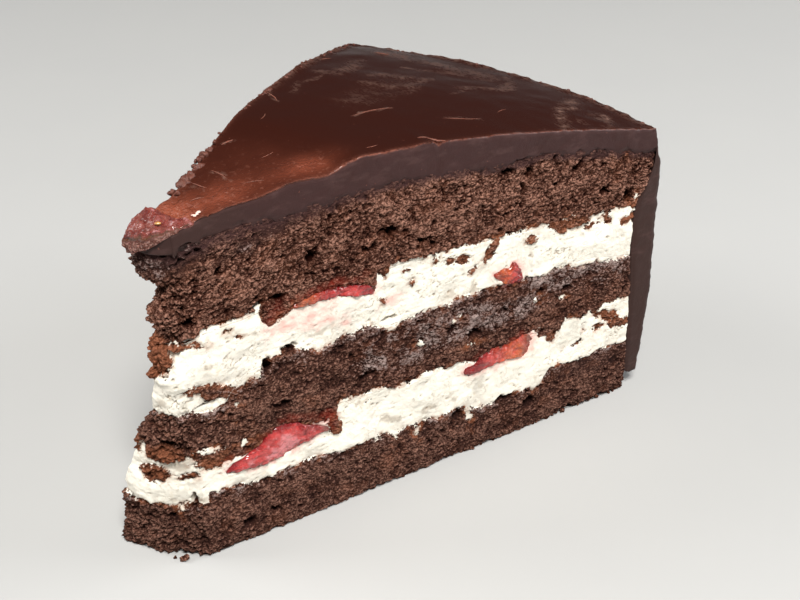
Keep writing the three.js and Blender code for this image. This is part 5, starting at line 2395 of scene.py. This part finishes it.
@dataclass
class TipFruit:
    """The crushed piece of fruit on the tip.

    Its shares and ends are of the slice's length and of its own, at the front cut and at the back.
    """

    wedge: Wedge
    front_share: float = 0.125
    back_share: float = 0.055
    front_end: float = 0.46
    back_end: float = 0.88
    sunk: float = 4.6
    hidden: float = 0.9
    front_rise: float = 1.25
    back_rise: float = 1.1
    droop: float = 1.7
    overhang: float = 1.2
    tail: float = 0.12
    radius: float = 120.3
    core: Pair = (12.0, 4.0)
    long: int = 84
    wide: int = 44
    rows: int = 22
    ridge: Smudge = Smudge(((6.3, 8.4), (6.1, 5.6), (6.6, 2.8), (9, 1.5), (12.2, 1.7)), 1.3, 1.0)
    lumps: Wave = Wave(2.4, 4, 111)
    fine: Wave = Wave(0.9, 3, 113)
    crumbly: Wave = Wave(0.9, 3, 117, 0.35)
    seeds: tuple[Triple, ...] = ((5.6, 2.3, -25),)
    seed_size: Triple = (0.62, 0.36, 0.3)
    skin: Array = field(init=False, repr=False)

    def place(self, a: Array, b: Array, w: Array) -> tuple[Array, Field]:
        """Points of the fruit with their colour fields.

        Args:
            a: Places from the tip to its tail.
            b: Places from the front cut to the back.
            w: Places through its thickness.

        Returns:
            Points and fields.
        """
        a, b, w = np.broadcast_arrays(a, b, w)
        u = a * lerp(self.front_share, self.back_share, b)
        flat = self.wedge.coat(u, b, np.full(u.shape, self.radius))
        flat = flat - np.stack([self.overhang * (1 - a) ** 2, 0 * a], -1)
        bulk = np.concatenate([flat, np.zeros_like(flat[..., :1])], -1)
        lumps, fine = self.lumps.at(bulk), self.fine.at(bulk)
        share = lerp(1.0, self.tail, np.sqrt(a))
        end = lerp(self.front_end, self.back_end, b)
        gone = smoothstep(a + 0.06 * lumps, end - 0.12, end + 0.12)
        ridge = self.ridge.at(flat)

        # The lip stands up along the front, and the back rises behind a drooping tip.
        front = self.front_rise * (1 - 0.8 * smoothstep(a, 0, self.front_end))
        back = self.back_rise - self.droop * (1 - smoothstep(a, 0.0, 0.5))
        rise = lerp(front, back, smoothstep(b, 0.35, 1)) + 0.8 * ridge
        rise = rise + (0.4 * lumps + 0.35 * fine) * (1 - gone)
        rise = lerp(rise, -self.hidden, gone)
        depth = self.sunk * share * b**0.8 * (1 + 0.2 * Noise.value(bulk, 1.5, 115)) + 0.15
        z = self.wedge.top(u, b) + lerp(-depth - gone, rise, w)
        flat = flat + np.stack([0 * a, self.hidden * gone * (1 - b)], -1)
        points = np.concatenate([flat, z[..., None]], -1)

        # The sides bulge away from the core.
        edge = (a <= 0) | (b <= 0) | (b >= 1)
        belly = 0.35 * np.sin(math.pi * np.clip(w, 0, 1)) + 0.5 * lumps + self.crumbly.at(points)
        belly = np.where(edge, belly, 0.0) * share * (1 - gone) * np.clip(3 * b, 0.3, 1)
        away = flat - np.array(self.core)
        away = away / np.linalg.norm(away, axis=-1, keepdims=True)
        points[..., :2] += away * belly[..., None]

        # Pale on the lip, a painted highlight along its edges, and on the ridge; amber in a band under
        # them, and crumb on the side below.
        lip = np.clip(bump(a, 0, 0.022) + bump(b, 0, 0.035), 0, 1)
        lip = np.where(edge, smoothstep(w, 0.86, 1), lip)
        side = np.where(edge, 1 - smoothstep(w + 0.15 * lumps, 0.5, 0.74), 0.0)
        side = side * (1 - 0.75 * smoothstep(a, 0.08, 0.22) * (b <= 0))
        band = np.where(edge, bump(w + 0.1 * lumps, 0.76, 0.12), 0.0)
        tone = 0.2 + 0.6 * lumps + 0.95 * ridge * smoothstep(flat[..., 0], 4.5, 7.5) + 0.5 * lip
        crust = np.clip(side + 0.25 * (1 - ridge - lip), 0, 1)
        return points, {"flesh": tone, "amber": 0.95 * band, "dirt": crust * (1 - band)}

    def build(self, finish: Material) -> Piece:
        """Builds the fruit.

        Args:
            finish: Its material.

        Returns:
            The fruit.
        """
        long, wide = self.long, self.wide
        ring = Ring((long, wide, long, wide))
        surface = Surface()
        w = np.linspace(0, 1, self.rows)[None, :]
        numbers = surface.add_points(*self.place(ring.u[:, None], ring.v[:, None], w))
        ring.strips(surface, numbers, [Box(0, low, 0.98, low + 0.09) for low in (0.01, 0.11, 0.21, 0.31)])
        a, b = np.arange(1, long)[:, None] / long, np.arange(1, wide)[None, :] / wide
        grid = ring.filled(numbers[:, -1], surface.add_points(*self.place(a, b, np.ones(1))))
        surface.add_grid(grid, Box(0.01, 0.42, 0.99, 0.8).spread(grid.shape))
        cap = Coarse(ring, (10, 5))
        under = surface.add_points(*self.place(cap.u, cap.v, np.zeros_like(cap.u)))
        cap.add(surface, numbers[:, 0], under, Box(0.01, 0.83, 0.98, 0.99), flip=True)
        self.skin = surface.every_point()
        return adopt(surface.build("fruit_tip_dressed", self.wedge, finish), "fruit", "fruit_tip")

    def build_seeds(self, finish: Material) -> Piece:
        """Builds the seeds on the fruit.

        Args:
            finish: Their material.

        Returns:
            The seeds.
        """
        lumps = []
        for x, y, turn in self.seeds:
            lumps.append(Lump((x, y, height_over(self.skin, x, y) + 0.12), self.seed_size, turn, 0.03))
        return adopt(pile(lumps, {}, 121).build("fruit_tip_seeds", self.wedge, finish), "fruit")


# ---- Stage ----


@dataclass(frozen=True)
class Lamp:
    """A soft square light that looks at the slice, in metres and watts."""

    name: str
    place: Triple
    size: float
    power: float
    colour: Triple

    def hang(self) -> None:
        """Adds the light."""
        data = bpy.data.lights.new(self.name, "AREA")
        data.size, data.energy, data.color = self.size, self.power, self.colour
        lamp = bpy.data.objects.new(self.name, data)
        lamp.location = self.place
        lamp.rotation_euler = (Vector((0, 0, 0.03)) - lamp.location).to_track_quat("-Z", "Y").to_euler()
        bpy.context.scene.collection.objects.link(lamp)


@dataclass
class Studio:
    """A pale floor, soft lights and the camera."""

    wedge: Wedge
    eye: Triple = (-63.73, -191.42, 188.56)
    yaw: float = math.radians(31.646)
    pitch: float = math.radians(32.156)
    roll: float = math.radians(-0.407)
    focal: float = 58.5
    near: float = 0.01
    floor_side: float = 6.0
    floor_colour: Triple = (0.42, 0.42, 0.41)
    floor_shade: Triple = (0.39, 0.39, 0.39)
    floor_mottle: Mottle = Mottle(40.0, 2.0, 0.3, 0.7, 0.15)
    room: Triple = (0.042, 0.043, 0.045)
    lamps: tuple[Lamp, ...] = (
        Lamp("key", (-0.22, -0.55, 0.9), 0.3, 18.0, (1.0, 0.98, 0.95)),
        Lamp("fill", (0.8, -0.35, 0.45), 0.6, 6.5, (0.97, 0.98, 1.0)),
        Lamp("back", (-0.75, 0.55, 0.7), 0.5, 7.0, (1.0, 1.0, 1.0)),
    )

    def camera(self) -> None:
        """Sets the camera where the slice is looked at from."""
        level = Vector((math.cos(self.yaw), -math.sin(self.yaw), 0.0))
        reach, fall = math.cos(self.pitch), math.sin(self.pitch)
        facing = Vector((math.sin(self.yaw) * reach, math.cos(self.yaw) * reach, -fall))
        upright = level.cross(facing)
        right = level * math.cos(self.roll) + upright * math.sin(self.roll)
        up = upright * math.cos(self.roll) - level * math.sin(self.roll)
        turn = Matrix((right, up, -facing)).transposed().to_4x4()
        eye = Vector(self.wedge.to_frame(np.array(self.eye)).tolist())
        data = bpy.data.cameras.new("camera")
        data.lens = self.focal
        data.clip_start = self.near
        camera = bpy.data.objects.new("camera", data)
        camera.matrix_world = Matrix.Translation(eye) @ turn
        bpy.context.scene.collection.objects.link(camera)
        bpy.context.scene.camera = camera

    def floor(self) -> None:
        """Lays the floor."""
        graph = Graph("floor")
        tone = graph.mix(self.floor_mottle.on(graph), self.floor_colour, self.floor_shade)
        bpy.ops.mesh.primitive_plane_add(size=self.floor_side)
        floor = bpy.context.active_object
        floor.name = "floor"
        floor.data.materials.append(graph.finish(Base_Color=tone, Roughness=0.8))

    def build(self) -> None:
        """Builds floor, lights, room and camera."""
        self.floor()
        for lamp in self.lamps:
            lamp.hang()
        world = bpy.data.worlds.new("room")
        world.use_nodes = True
        air = world.node_tree.nodes["Background"].inputs
        air["Color"].default_value = (*self.room, 1.0)
        air["Strength"].default_value = 1.0
        bpy.context.scene.world = world
        bpy.context.scene.view_settings.view_transform = "Standard"
        self.camera()


LAYERS = (
    ("sponge_bottom", Filling.SPONGE),
    ("cream_lower", Filling.CREAM),
    ("sponge_middle", Filling.SPONGE),
    ("cream_upper", Filling.CREAM),
    ("sponge_top", Filling.SPONGE),
)


def main() -> None:
    """Builds the slice's pieces in order, and the stage round them."""
    logging.basicConfig(level=logging.INFO, format="%(message)s")
    wedge = Wedge()
    layers = Layers(wedge)
    finishes = {filling: CutFinish(filling.value + "_cut").make() for filling in Filling}
    for index, (name, filling) in enumerate(LAYERS):
        layers.build(index, name, filling, finishes[filling])
    chocolate = CoatFinish().make()
    coat = Coat(wedge)
    coat.build(chocolate)
    wet = FruitFinish().make()
    for piece in FRUIT:
        piece.build(wedge, wet)
    tip = TipFruit(wedge)
    tip.build(CRUSHED.make())
    tip.build_seeds(SeedFinish().make())
    trimmings = Trimmings(wedge, coat)
    trimmings.sponge(finishes[Filling.SPONGE])
    trimmings.chocolate(chocolate)
    trimmings.shavings(chocolate)
    trimmings.cream(finishes[Filling.CREAM])
    Studio(wedge).build()


if __name__ == "__main__":
    main()
